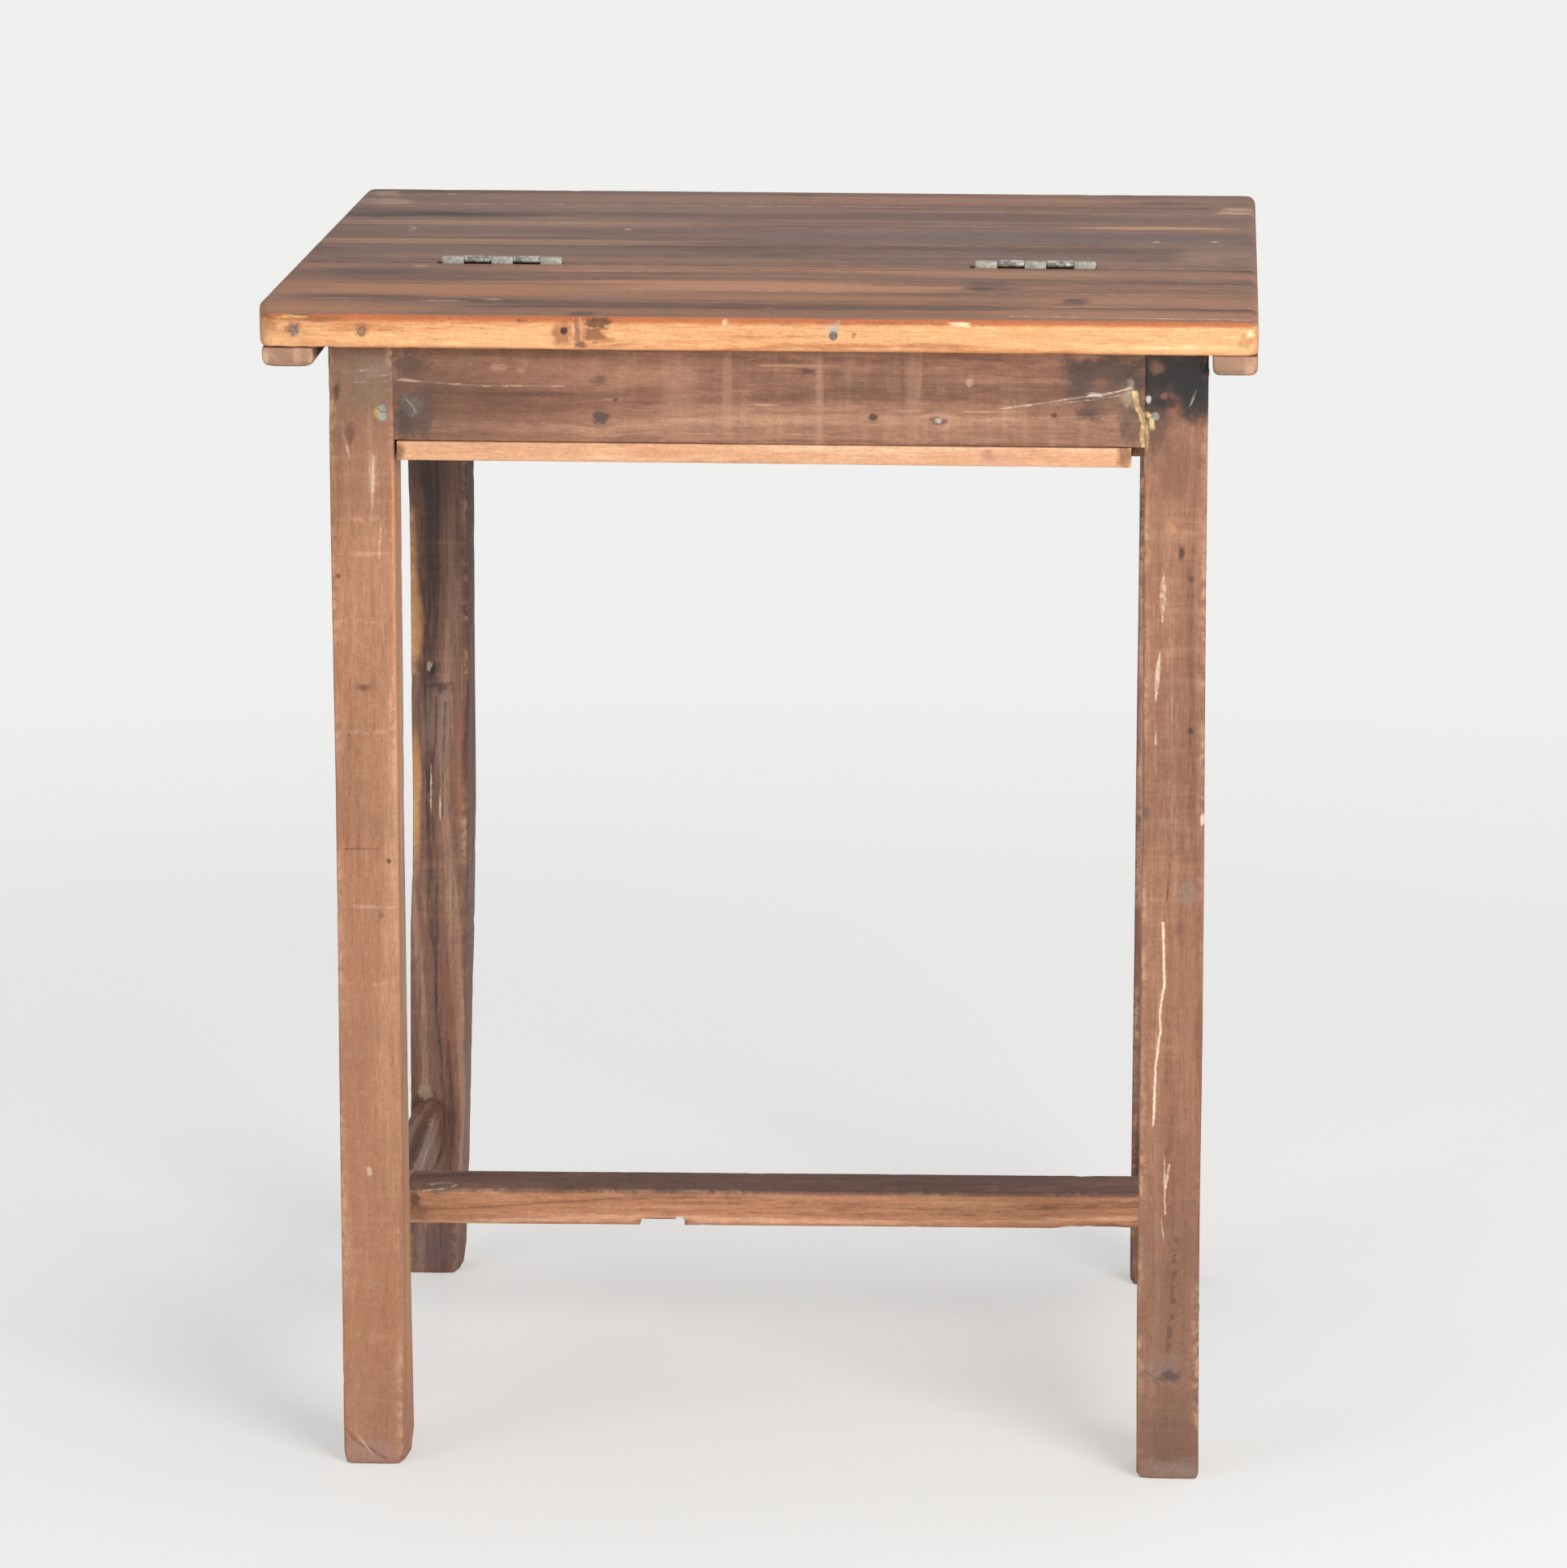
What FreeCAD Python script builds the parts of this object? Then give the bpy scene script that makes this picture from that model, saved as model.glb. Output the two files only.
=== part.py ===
import FreeCAD, Part
import math
import os
from FreeCAD import Vector

# School desk with a hinged lid over a shallow box.
# Millimetres. X runs along the width, Z is up. The back of the desk, where
# the fixed part of the top is, faces -Y, and the sitter's side faces +Y.
# Left and right are -X and +X. The origin is on the floor under the middle
# of the top.

# The top. Its width is taken along the back edge. The left end swells out to
# the first joint and draws in again to the front, and the right end spreads.
top_width = 615.0
top_depth = 558.0
top_height = 750.0
top_thickness = 21.0
top_corner_radius = 10.0
top_upper_round = 5.0
top_lower_bevel = 2.5
left_bulge_width = 8.0
left_front_draw_width = 1.0
right_front_spread_width = 2.0
left_overhang_width = 39.0
right_overhang_width = 30.0
back_overhang_depth = 18.0
front_overhang_depth = 82.0
joint_bevel = 0.5

# Widths of the boards of the fixed part, from the back edge to the seam.
# The lid's boards share its depth, and the last one takes what is left.
edge_strip_width = 56.0
fixed_board_width = 80.0
lid_board_shares = (0.265, 0.248, 0.26)
seam_gap = 3.0

# Cleats under the ends of the top
cleat_thickness = 13.0
left_cleat_width = 32.0
right_cleat_width = 28.0
cleat_bevel = 4.0
cleat_back_inset_depth = 2.0
cleat_seam_inset_depth = 5.0
cleat_front_inset_depth = 16.0

# Legs: square at the top, drawn in a little to the foot on the inner faces
leg_size = 41.0
leg_foot_size = 38.5
leg_bevel = 1.5
foot_bevel = 2.5

# Aprons and floor of the box
apron_height = 61.0
apron_thickness = 20.0
apron_setback = 1.5
tenon_thickness = 8.0
tenon_length = 23.0
tenon_top_shoulder = 10.0
tenon_bottom_shoulder = 6.0
mortise_end_gap = 1.0
floor_thickness = 12.5
floor_joint_gap = 0.6
left_floor_gap = 1.5
right_floor_gap = 6.5
floor_notch_gap = 1.5
floor_board_count = 4

# Low rails
side_rail_height = 43.0
side_rail_thickness = 18.0
side_rail_top = 126.5
side_rail_setback = 1.5
rail_tenon_thickness = 8.0
rail_tenon_length = 22.0
rail_tenon_shoulder = 5.0
cross_rail_bevel = 2.0
cross_rail_height = 25.0
cross_rail_depth = 44.0
cross_tenon_length = 12.0
cross_tenon_height = 13.0
cross_tenon_shoulder = 5.0
notch_width = 30.0
notch_depth = 4.7
notch_place_share = 0.33

# Hinges: rolled knuckles on a pin that lies just above the top
hinge_length = 77.5
left_hinge_inset_width = 90.0
right_hinge_inset_width = 103.0
pin_rise_height = 2.0
pin_radius = 1.6
pin_running_gap = 0.06
knuckle_radius = 3.5
leaf_thickness = 2.0
leaf_drop_depth = 19.0
fixed_knuckle_length = 14.0
knuckle_gap = 0.3
knuckle_clearance = 0.4
curl_slit_width = 0.4
leaf_seat_gap = 0.2
pit_depth = 3.5
pit_side_gap = 1.0
left_pit_gap = 3.5
right_pit_gap = 0.6

# Screws of the hinge leaves
screw_head_radius = 3.3
screw_head_depth = 1.6
screw_radius = 1.6
screw_length = 16.0
screw_tip_length = 5.0
screw_slot_width = 0.8
screw_slot_depth = 0.7
screw_tip_radius = 0.3
screw_sides = 8
screw_place_shares = (0.14, 0.5, 0.86)
screw_row_shares = (0.42, 0.62, 0.42)

# Nails: a forged head on a tapered square shank. The heads on the back are
# eight-sided, all others square.
back_head_sides = 8
other_head_sides = 4
nail_head_radius = 2.9
nail_head_thickness = 1.2
nail_shank_size = 2.4
nail_tip_size = 1.0
edge_nail_length = 78.0
edge_nail_place_shares = (0.034, 0.102, 0.576)
top_nail_length = 45.0
top_nail_sink_depth = 3.0
top_nail_back_shares = (0.2, 0.5, 0.8)
top_nail_side_share = 0.5
cleat_nail_length = 30.0
fixed_cleat_nail_shares = (0.5,)
lid_cleat_nail_shares = (0.2, 0.7)
floor_nail_length = 36.0
floor_nail_apron_shares = (0.5,)
joint_nail_length = 28.0
joint_nail_inset_width = 7.0
joint_nail_back_share = 0.45
joint_nail_side_share = 0.75
cross_nail_length = 44.0

# How far a cutting body runs past the face that it opens, and how close
# two places are when they count as one
overrun = 2.0
same_place = 0.001

# Places worked out from the sizes above
top_x0 = (left_bulge_width - right_front_spread_width - top_width) / 2
top_x1 = top_x0 + top_width
top_y0 = -top_depth / 2
top_y1 = top_depth / 2
top_underside = top_height - top_thickness
frame_x0 = top_x0 + left_overhang_width
frame_x1 = top_x1 - right_overhang_width
frame_y0 = top_y0 + back_overhang_depth
frame_y1 = top_y1 - front_overhang_depth
box_floor = top_underside - apron_height
floor_underside = box_floor - floor_thickness
fixed_edge = top_y0 + edge_strip_width + 2 * fixed_board_width
lid_edge = fixed_edge + seam_gap
seam_y = fixed_edge + seam_gap / 2
pin_z = top_height + pin_rise_height
leaf_bottom = top_height - leaf_drop_depth
rail_low_z = side_rail_top - side_rail_height
cross_low_z = side_rail_top - cross_rail_height

hinge_starts = {
    "left": top_x0 + left_hinge_inset_width,
    "right": top_x1 - right_hinge_inset_width - hinge_length,
}


def block(x0, x1, y0, y1, z0, z1):
    """A box between two corners given in any order."""
    low = Vector(min(x0, x1), min(y0, y1), min(z0, z1))
    return Part.makeBox(abs(x1 - x0), abs(y1 - y0), abs(z1 - z0), low)


def beveled_outline(x0, x1, y0, y1, bevel, z):
    """The corner points of a level rectangle with its corners cut off."""
    return [
        Vector(x0 + bevel, y0, z),
        Vector(x1 - bevel, y0, z),
        Vector(x1, y0 + bevel, z),
        Vector(x1, y1 - bevel, z),
        Vector(x1 - bevel, y1, z),
        Vector(x0 + bevel, y1, z),
        Vector(x0, y1 - bevel, z),
        Vector(x0, y0 + bevel, z),
    ]


def many_sided(radius, sides, z):
    """The corner points of a level regular polygon round the Z axis."""
    points = []
    for number in range(sides):
        turn = 2 * math.pi * (number + 1 / 2) / sides
        points.append(Vector(radius * math.cos(turn), radius * math.sin(turn), z))
    return points


def flat_face(points):
    """A flat face from its corner points."""
    return Part.Face(Part.makePolygon(points + points[:1]))


def stacked(outlines):
    """A solid with flat sides that runs through level outlines from the first to the last."""
    faces = [flat_face(outlines[0]), flat_face(outlines[-1])]
    for low, high in zip(outlines, outlines[1:]):
        for a in range(len(low)):
            b = (a + 1) % len(low)
            faces.append(flat_face([low[a], low[b], high[b], high[a]]))
    return Part.makeSolid(Part.makeShell(faces))


def edges_where(shape, test):
    """The straight or curved edges whose two ends both pass a test."""
    chosen = []
    for edge in shape.Edges:
        if all(test(vertex.Point) for vertex in edge.Vertexes):
            chosen.append(edge)
    return chosen


def near(a, b):
    """Whether two places are the same."""
    return abs(a - b) < same_place


def top_slab():
    """The whole top with its worn corners and arrises, before it is sawn into boards."""
    left_bulge = Vector(top_x0 - left_bulge_width, top_y0 + edge_strip_width, top_underside)
    corners = [
        Vector(top_x0, top_y0, top_underside),
        Vector(top_x1, top_y0, top_underside),
        Vector(top_x1 + right_front_spread_width, top_y1, top_underside),
        Vector(top_x0 + left_front_draw_width, top_y1, top_underside),
    ]
    slab = flat_face(corners + [left_bulge]).extrude(Vector(0, 0, top_thickness))
    ends = edges_where(slab, lambda p: near(p.y, top_y0) or near(p.y, top_y1))
    upright = [edge for edge in ends if near(edge.Length, top_thickness)]
    slab = slab.makeFillet(top_corner_radius, upright)
    slab = slab.makeFillet(top_upper_round, edges_where(slab, lambda p: near(p.z, top_height)))
    lower = edges_where(slab, lambda p: near(p.z, top_underside))
    return slab.makeChamfer(top_lower_bevel, lower)


def top_board(slab, y0, y1):
    """One board of the top, with its upper arrises eased where it meets another."""
    x0 = top_x0 - left_bulge_width - overrun
    x1 = top_x1 + right_front_spread_width + overrun
    board = slab.common(block(x0, x1, y0, y1, top_underside, top_height))
    for y, inward in ((y0, 1), (y1, -1)):
        if near(y, top_y0) or near(y, top_y1):
            continue
        corners = [
            Vector(x0, y, top_height - joint_bevel),
            Vector(x0, y + inward * joint_bevel, top_height),
            Vector(x0, y, top_height + overrun),
        ]
        wedge = flat_face(corners).extrude(Vector(x1 - x0, 0, 0))
        board = board.cut(wedge)
    return board


def top_boards():
    """The boards of the fixed part and of the lid, each with the span that it covers."""
    spans = {}
    spans["fixed_top_edge_strip"] = (top_y0, top_y0 + edge_strip_width)
    y = top_y0 + edge_strip_width
    for number in (1, 2):
        spans["fixed_top_board_%d" % number] = (y, y + fixed_board_width)
        y += fixed_board_width
    y = lid_edge
    for number, share in enumerate(lid_board_shares, 1):
        width = (top_y1 - lid_edge) * share
        spans["lid_board_%d" % number] = (y, y + width)
        y += width
    spans["lid_board_%d" % (number + 1)] = (y, top_y1)
    return spans


def cleat(x0, x1, y0, y1):
    """A cleat under one end of the top, its lower edges planed off."""
    low = top_underside - cleat_thickness
    bar = block(x0, x1, y0, y1, low, top_underside)
    return bar.makeChamfer(cleat_bevel, edges_where(bar, lambda p: near(p.z, low)))


def leg(side_x, side_y):
    """One leg blank: outer faces plumb, inner faces drawn in below the box."""
    outer_x = frame_x0 if side_x < 0 else frame_x1
    outer_y = frame_y0 if side_y < 0 else frame_y1
    sections = (
        (0, leg_foot_size, foot_bevel),
        (foot_bevel, leg_foot_size, 0),
        (floor_underside, leg_size, 0),
        (top_underside, leg_size, 0),
    )
    outlines = []
    for z, size, inset in sections:
        far_x = outer_x - side_x * size
        far_y = outer_y - side_y * size
        x0, x1 = min(outer_x, far_x) + inset, max(outer_x, far_x) - inset
        y0, y1 = min(outer_y, far_y) + inset, max(outer_y, far_y) - inset
        outlines.append(beveled_outline(x0, x1, y0, y1, leg_bevel, z))
    return stacked(outlines)


def long_apron(side_y):
    """The back or front apron between the legs, and its two tenons."""
    outer = frame_y0 + apron_setback if side_y < 0 else frame_y1 - apron_setback
    inner = outer - side_y * apron_thickness
    middle = (outer + inner) / 2
    x0 = frame_x0 + leg_size
    x1 = frame_x1 - leg_size
    board = block(x0, x1, outer, inner, box_floor, top_underside)
    tenons = block(
        x0 - tenon_length, x1 + tenon_length,
        middle - tenon_thickness / 2, middle + tenon_thickness / 2,
        box_floor + tenon_bottom_shoulder, top_underside - tenon_top_shoulder,
    )
    return board.fuse(tenons).removeSplitter()


def side_apron(side_x):
    """The left or right apron between the legs, and its two tenons."""
    outer = frame_x0 + apron_setback if side_x < 0 else frame_x1 - apron_setback
    inner = outer - side_x * apron_thickness
    middle = (outer + inner) / 2
    y0 = frame_y0 + leg_size
    y1 = frame_y1 - leg_size
    board = block(outer, inner, y0, y1, box_floor, top_underside)
    tenons = block(
        middle - tenon_thickness / 2, middle + tenon_thickness / 2,
        y0 - tenon_length, y1 + tenon_length,
        box_floor + tenon_bottom_shoulder, top_underside - tenon_top_shoulder,
    )
    return board.fuse(tenons).removeSplitter()


def floor_spans():
    """Where each floor board starts and ends, from the back to the front."""
    y0 = frame_y0 + apron_setback
    y1 = frame_y1 - apron_setback
    width = (y1 - y0 - (floor_board_count - 1) * floor_joint_gap) / floor_board_count
    return [
        (y0 + number * (width + floor_joint_gap), y0 + number * (width + floor_joint_gap) + width)
        for number in range(floor_board_count)
    ]


def floor_board(y0, y1):
    """One board of the floor; a board that meets the legs is notched round them."""
    x0 = frame_x0 + apron_setback
    x1 = frame_x1 - apron_setback
    board = block(x0, x1, y0, y1, floor_underside, box_floor)
    low = floor_underside - overrun
    high = box_floor + overrun
    left = frame_x0 + leg_size + left_floor_gap
    right = frame_x1 - leg_size - right_floor_gap
    if y0 < frame_y0 + leg_size:
        reach = frame_y0 + leg_size + floor_notch_gap
        board = board.cut(block(x0 - overrun, left, y0 - overrun, reach, low, high))
        board = board.cut(block(right, x1 + overrun, y0 - overrun, reach, low, high))
    if y1 > frame_y1 - leg_size:
        reach = frame_y1 - leg_size - floor_notch_gap
        board = board.cut(block(x0 - overrun, left, reach, y1 + overrun, low, high))
        board = board.cut(block(right, x1 + overrun, reach, y1 + overrun, low, high))
    return board


def side_rail_faces(side_x):
    """The outer and the inner face of a side rail."""
    outer = frame_x0 + side_rail_setback if side_x < 0 else frame_x1 - side_rail_setback
    return outer, outer - side_x * side_rail_thickness


def side_rail_tenons(side_x):
    """The two tenons of a side rail, as one bar that runs through it."""
    outer, inner = side_rail_faces(side_x)
    middle = (outer + inner) / 2
    half = rail_tenon_thickness / 2
    y0 = frame_y0 + leg_size - rail_tenon_length
    y1 = frame_y1 - leg_size + rail_tenon_length
    low = rail_low_z + rail_tenon_shoulder
    return block(middle - half, middle + half, y0, y1, low, side_rail_top - rail_tenon_shoulder)


def side_rail(side_x, legs):
    """A low rail from the back leg to the front leg, its shoulders fitted to the tapered faces."""
    outer, inner = side_rail_faces(side_x)
    y0 = frame_y0 + leg_size / 2
    y1 = frame_y1 - leg_size / 2
    bar = block(outer, inner, y0, y1, rail_low_z, side_rail_top)
    bar = bar.cut(Part.makeCompound(legs))
    bar = bar.fuse(side_rail_tenons(side_x)).removeSplitter()
    return bar


def cross_rail_span():
    """The back and the front face of the cross rail, at mid depth of the frame."""
    middle = (frame_y0 + frame_y1) / 2
    return middle - cross_rail_depth / 2, middle + cross_rail_depth / 2


def cross_rail_tenons():
    """The two tenons of the cross rail, as one bar that runs through it."""
    y0, y1 = cross_rail_span()
    left = side_rail_faces(-1)[1] - cross_tenon_length
    right = side_rail_faces(1)[1] + cross_tenon_length
    middle = (cross_low_z + side_rail_top) / 2
    half = cross_tenon_height / 2
    shoulder = cross_tenon_shoulder
    return block(left, right, y0 + shoulder, y1 - shoulder, middle - half, middle + half)


def cross_rail():
    """The flat rail between the side rails, with an old housing left in its lower face."""
    y0, y1 = cross_rail_span()
    x0 = side_rail_faces(-1)[1]
    x1 = side_rail_faces(1)[1]
    bar = block(x0, x1, y0, y1, cross_low_z, side_rail_top)
    arrises = edges_where(bar, lambda p: near(p.z, side_rail_top) and near(p.y, y0))
    bar = bar.makeChamfer(cross_rail_bevel, arrises)
    bar = bar.fuse(cross_rail_tenons()).removeSplitter()
    middle = x0 + (x1 - x0) * notch_place_share
    notch = block(
        middle - notch_width / 2, middle + notch_width / 2,
        y0 - overrun, y1 + overrun,
        cross_low_z - overrun, cross_low_z + notch_depth,
    )
    return bar.cut(notch)


def knuckle_spans(start):
    """The five knuckles of a hinge: the odd ones belong to the fixed leaf."""
    moving = (hinge_length - 3 * fixed_knuckle_length) / 2
    spans = []
    x = start
    for number in range(5):
        length = moving if number % 2 else fixed_knuckle_length
        spans.append((x, x + length))
        x += length
    return spans


def hinge_leaf(start, side_y):
    """A leaf with rolled knuckles: side -1 is the fixed leaf, side 1 the lid's leaf."""
    outer = seam_y + side_y * knuckle_radius
    inner = outer - side_y * leaf_thickness
    leaf = block(start, start + hinge_length, outer, inner, leaf_bottom, pin_z)
    along = Vector(1, 0, 0)
    bore = pin_radius + (pin_running_gap if side_y > 0 else 0)
    for number, (x0, x1) in enumerate(knuckle_spans(start)):
        own = (number % 2 == 0) == (side_y < 0)
        if own:
            a = x0 + (knuckle_gap if side_y > 0 else 0)
            b = x1 - (knuckle_gap if side_y > 0 else 0)
            base = Vector(a, seam_y, pin_z)
            leaf = leaf.fuse(Part.makeCylinder(knuckle_radius, b - a, base, along))
        else:
            room = knuckle_radius + knuckle_clearance
            a = x0 - (knuckle_gap if side_y > 0 else 0)
            b = x1 + (knuckle_gap if side_y > 0 else 0)
            a = max(a, start)
            b = min(b, start + hinge_length)
            past = overrun if side_y > 0 else 0
            a -= past if number == 0 else 0
            b += past if number == 4 else 0
            leaf = leaf.cut(block(a, b, seam_y - room, seam_y + room, pin_z - room, pin_z + room))
    whole = Vector(start - overrun, seam_y, pin_z)
    leaf = leaf.cut(Part.makeCylinder(bore, hinge_length + 2 * overrun, whole, along))
    slit = block(
        start - overrun, start + hinge_length + overrun,
        inner, inner - side_y * curl_slit_width,
        pin_z - knuckle_radius, pin_z,
    )
    return leaf.cut(slit).removeSplitter()


def hinge_pin(start):
    """The pin, as long as the hinge, tight in the fixed knuckles."""
    return Part.makeCylinder(pin_radius, hinge_length, Vector(start, seam_y, pin_z), Vector(1, 0, 0))


def hinge_recess(start, side_y):
    """What is cut from a board's edge to let in a leaf, and the pit round the knuckles."""
    outer = seam_y + side_y * knuckle_radius
    seat = block(
        start - leaf_seat_gap, start + hinge_length + leaf_seat_gap,
        outer, seam_y,
        leaf_bottom, top_height + overrun,
    )
    pit = block(
        start - left_pit_gap, start + hinge_length + right_pit_gap,
        outer + side_y * pit_side_gap, seam_y,
        top_height - pit_depth, top_height + overrun,
    )
    return seat.fuse(pit)


def screw(x, z, side_y):
    """A slotted countersunk screw, driven from the seam into a board's edge."""
    face = seam_y + side_y * (knuckle_radius - leaf_thickness)
    sections = (
        (screw_head_radius, 0),
        (screw_radius, screw_head_depth),
        (screw_radius, screw_length - screw_tip_length),
        (screw_tip_radius, screw_length),
    )
    body = stacked([many_sided(radius, screw_sides, depth) for radius, depth in sections])
    slot = block(
        -screw_head_radius, screw_head_radius,
        -screw_slot_width / 2, screw_slot_width / 2,
        -overrun, screw_slot_depth,
    )
    hole = body.copy()
    body = body.cut(slot)
    turn = FreeCAD.Rotation(Vector(0, 0, 1), Vector(0, side_y, 0))
    place = FreeCAD.Placement(Vector(x, face, z), turn)
    body.Placement = place
    hole.Placement = place
    return body, hole


def leaf_screws(start, side_y):
    """The three screws of a leaf and the holes that they fill."""
    z0 = leaf_bottom
    z1 = pin_z - knuckle_radius
    return [
        screw(start + hinge_length * along_share, z0 + (z1 - z0) * row_share, side_y)
        for along_share, row_share in zip(screw_place_shares, screw_row_shares)
    ]


def nail(point, direction, length, head_sides):
    """A nail whose head lies flush at a point and whose shank runs in a direction."""
    outline = many_sided(nail_head_radius, head_sides, 0)
    head = flat_face(outline).extrude(Vector(0, 0, nail_head_thickness))
    half_diagonal = math.sqrt(0.5)
    shank = stacked(
        [
            many_sided(nail_shank_size * half_diagonal, 4, nail_head_thickness),
            many_sided(nail_tip_size * half_diagonal, 4, length),
        ]
    )
    whole = head.fuse(shank)
    whole.Placement = FreeCAD.Placement(point, FreeCAD.Rotation(Vector(0, 0, 1), direction))
    return whole


def share_of(span, share):
    """The place at a share of the way along a span."""
    return span[0] + (span[1] - span[0]) * share


def cleat_middle(side_x):
    """Mid width of the cleats on one side."""
    if side_x < 0:
        return top_x0 + left_cleat_width / 2
    return top_x1 - right_cleat_width / 2


def cleat_nails(boards, spans, shares):
    """Nails driven up through the cleats, each into one board of the top."""
    nails = []
    up = Vector(0, 0, 1)
    low = top_underside - cleat_thickness
    for name in boards:
        for share in shares:
            for side_x in (-1, 1):
                point = Vector(cleat_middle(side_x), share_of(spans[name], share), low)
                nails.append(nail(point, up, cleat_nail_length, other_head_sides))
    return nails


def edge_nails():
    """Nails through the edge strip from behind into the next board."""
    inward = Vector(0, 1, 0)
    nails = []
    for share in edge_nail_place_shares:
        point = Vector(top_x0 + top_width * share, top_y0, top_height - top_thickness / 2)
        nails.append(nail(point, inward, edge_nail_length, back_head_sides))
    return nails


def fixed_top_nails(spans):
    """Sunk nails that hold the fixed boards down on the aprons."""
    down = Vector(0, 0, -1)
    z = top_height - top_nail_sink_depth
    nails = []
    y = frame_y0 + apron_setback + apron_thickness / 2
    for share in top_nail_back_shares:
        x = share_of((frame_x0, frame_x1), share)
        nails.append(nail(Vector(x, y, z), down, top_nail_length, other_head_sides))
    y = share_of(spans["fixed_top_board_2"], top_nail_side_share)
    for x in side_apron_middles():
        nails.append(nail(Vector(x, y, z), down, top_nail_length, other_head_sides))
    return nails


def side_apron_middles():
    """Mid thickness of the left and of the right apron."""
    inset = apron_setback + apron_thickness / 2
    return frame_x0 + inset, frame_x1 - inset


def floor_nails():
    """Nails driven up through the floor boards into the four aprons."""
    up = Vector(0, 0, 1)
    nails = []
    for y0, y1 in floor_spans():
        low = max(y0, frame_y0 + leg_size)
        high = min(y1, frame_y1 - leg_size)
        for x in side_apron_middles():
            point = Vector(x, (low + high) / 2, floor_underside)
            nails.append(nail(point, up, floor_nail_length, other_head_sides))
    inset = apron_setback + apron_thickness / 2
    for y in (frame_y0 + inset, frame_y1 - inset):
        for share in floor_nail_apron_shares:
            point = Vector(share_of((frame_x0, frame_x1), share), y, floor_underside)
            nails.append(nail(point, up, floor_nail_length, other_head_sides))
    return nails


def joint_nails():
    """Nails that lock the tenons of the aprons and of the low rails."""
    nails = []
    reach = leg_size - joint_nail_inset_width
    back_z = share_of((floor_underside, top_underside), joint_nail_back_share)
    side_z = share_of((floor_underside, top_underside), joint_nail_side_share)
    rail_z = (rail_low_z + side_rail_top) / 2
    for side_y in (-1, 1):
        face_y = frame_y0 if side_y < 0 else frame_y1
        for side_x in (-1, 1):
            face_x = frame_x0 if side_x < 0 else frame_x1
            into_x = Vector(-side_x, 0, 0)
            into_y = Vector(0, -side_y, 0)
            point = Vector(face_x - side_x * reach, face_y, back_z)
            sides = back_head_sides if side_y < 0 else other_head_sides
            nails.append(nail(point, into_y, joint_nail_length, sides))
            for z in (side_z, rail_z):
                point = Vector(face_x, face_y - side_y * reach, z)
                nails.append(nail(point, into_x, joint_nail_length, other_head_sides))
    y = (frame_y0 + frame_y1) / 2
    z = (cross_low_z + side_rail_top) / 2
    for side_x in (-1, 1):
        point = Vector(side_rail_faces(side_x)[0], y, z)
        inward = Vector(-side_x, 0, 0)
        nails.append(nail(point, inward, cross_nail_length, other_head_sides))
    return nails


def stretched(piece, dx, dy):
    """A tenon bar made longer at both ends, for the room at the bottom of its mortises."""
    box = piece.BoundBox
    return block(box.XMin - dx, box.XMax + dx, box.YMin - dy, box.YMax + dy, box.ZMin, box.ZMax)


def apron_tenon_bar(apron, lengthwise):
    """The bar that an apron's two tenons are the ends of."""
    box = apron.BoundBox
    z0 = box_floor + tenon_bottom_shoulder
    z1 = top_underside - tenon_top_shoulder
    half = tenon_thickness / 2
    middle_x = (box.XMin + box.XMax) / 2
    middle_y = (box.YMin + box.YMax) / 2
    if lengthwise:
        return block(
            box.XMin - mortise_end_gap, box.XMax + mortise_end_gap,
            middle_y - half, middle_y + half, z0, z1,
        )
    return block(
        middle_x - half, middle_x + half,
        box.YMin - mortise_end_gap, box.YMax + mortise_end_gap, z0, z1,
    )


def frame_pieces():
    """Legs, aprons, floor and low rails, with their mortises cut."""
    sides = {"left": -1, "right": 1}
    ends = {"back": -1, "front": 1}
    pieces = {}
    aprons = {
        "apron_back": long_apron(-1),
        "apron_front": long_apron(1),
        "apron_left": side_apron(-1),
        "apron_right": side_apron(1),
    }
    blanks = {(e, s): leg(sides[s], ends[e]) for e in ends for s in sides}
    for s, side_x in sides.items():
        pair = [blanks[("back", s)], blanks[("front", s)]]
        rail = side_rail(side_x, pair)
        cross_mortise = stretched(cross_rail_tenons(), mortise_end_gap, 0)
        pieces["side_rail_" + s] = rail.cut(cross_mortise)
    for (e, s), blank in blanks.items():
        blank = blank.cut(apron_tenon_bar(aprons["apron_" + e], True))
        blank = blank.cut(apron_tenon_bar(aprons["apron_" + s], False))
        blank = blank.cut(stretched(side_rail_tenons(sides[s]), 0, mortise_end_gap))
        pieces["leg_%s_%s" % (e, s)] = blank
    pieces.update(aprons)
    for number, (y0, y1) in enumerate(floor_spans(), 1):
        pieces["floor_board_%d" % number] = floor_board(y0, y1)
    pieces["cross_rail"] = cross_rail()
    return pieces


def cleats():
    """The cleats under the fixed part and under the lid."""
    fixed = (top_y0 + cleat_back_inset_depth, fixed_edge - cleat_seam_inset_depth)
    lid = (lid_edge + cleat_seam_inset_depth, top_y1 - cleat_front_inset_depth)
    left = (top_x0, top_x0 + left_cleat_width)
    right = (top_x1 - right_cleat_width, top_x1)
    return {
        "fixed_cleat_left": cleat(*left, *fixed),
        "fixed_cleat_right": cleat(*right, *fixed),
        "lid_cleat_left": cleat(*left, *lid),
        "lid_cleat_right": cleat(*right, *lid),
    }


def drilled(pieces, names, fillers):
    """Cuts the room of each nail or screw from the wooden pieces that it enters."""
    for name in names:
        for filler in fillers:
            if pieces[name].BoundBox.intersect(filler.BoundBox):
                pieces[name] = pieces[name].cut(filler)


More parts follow.
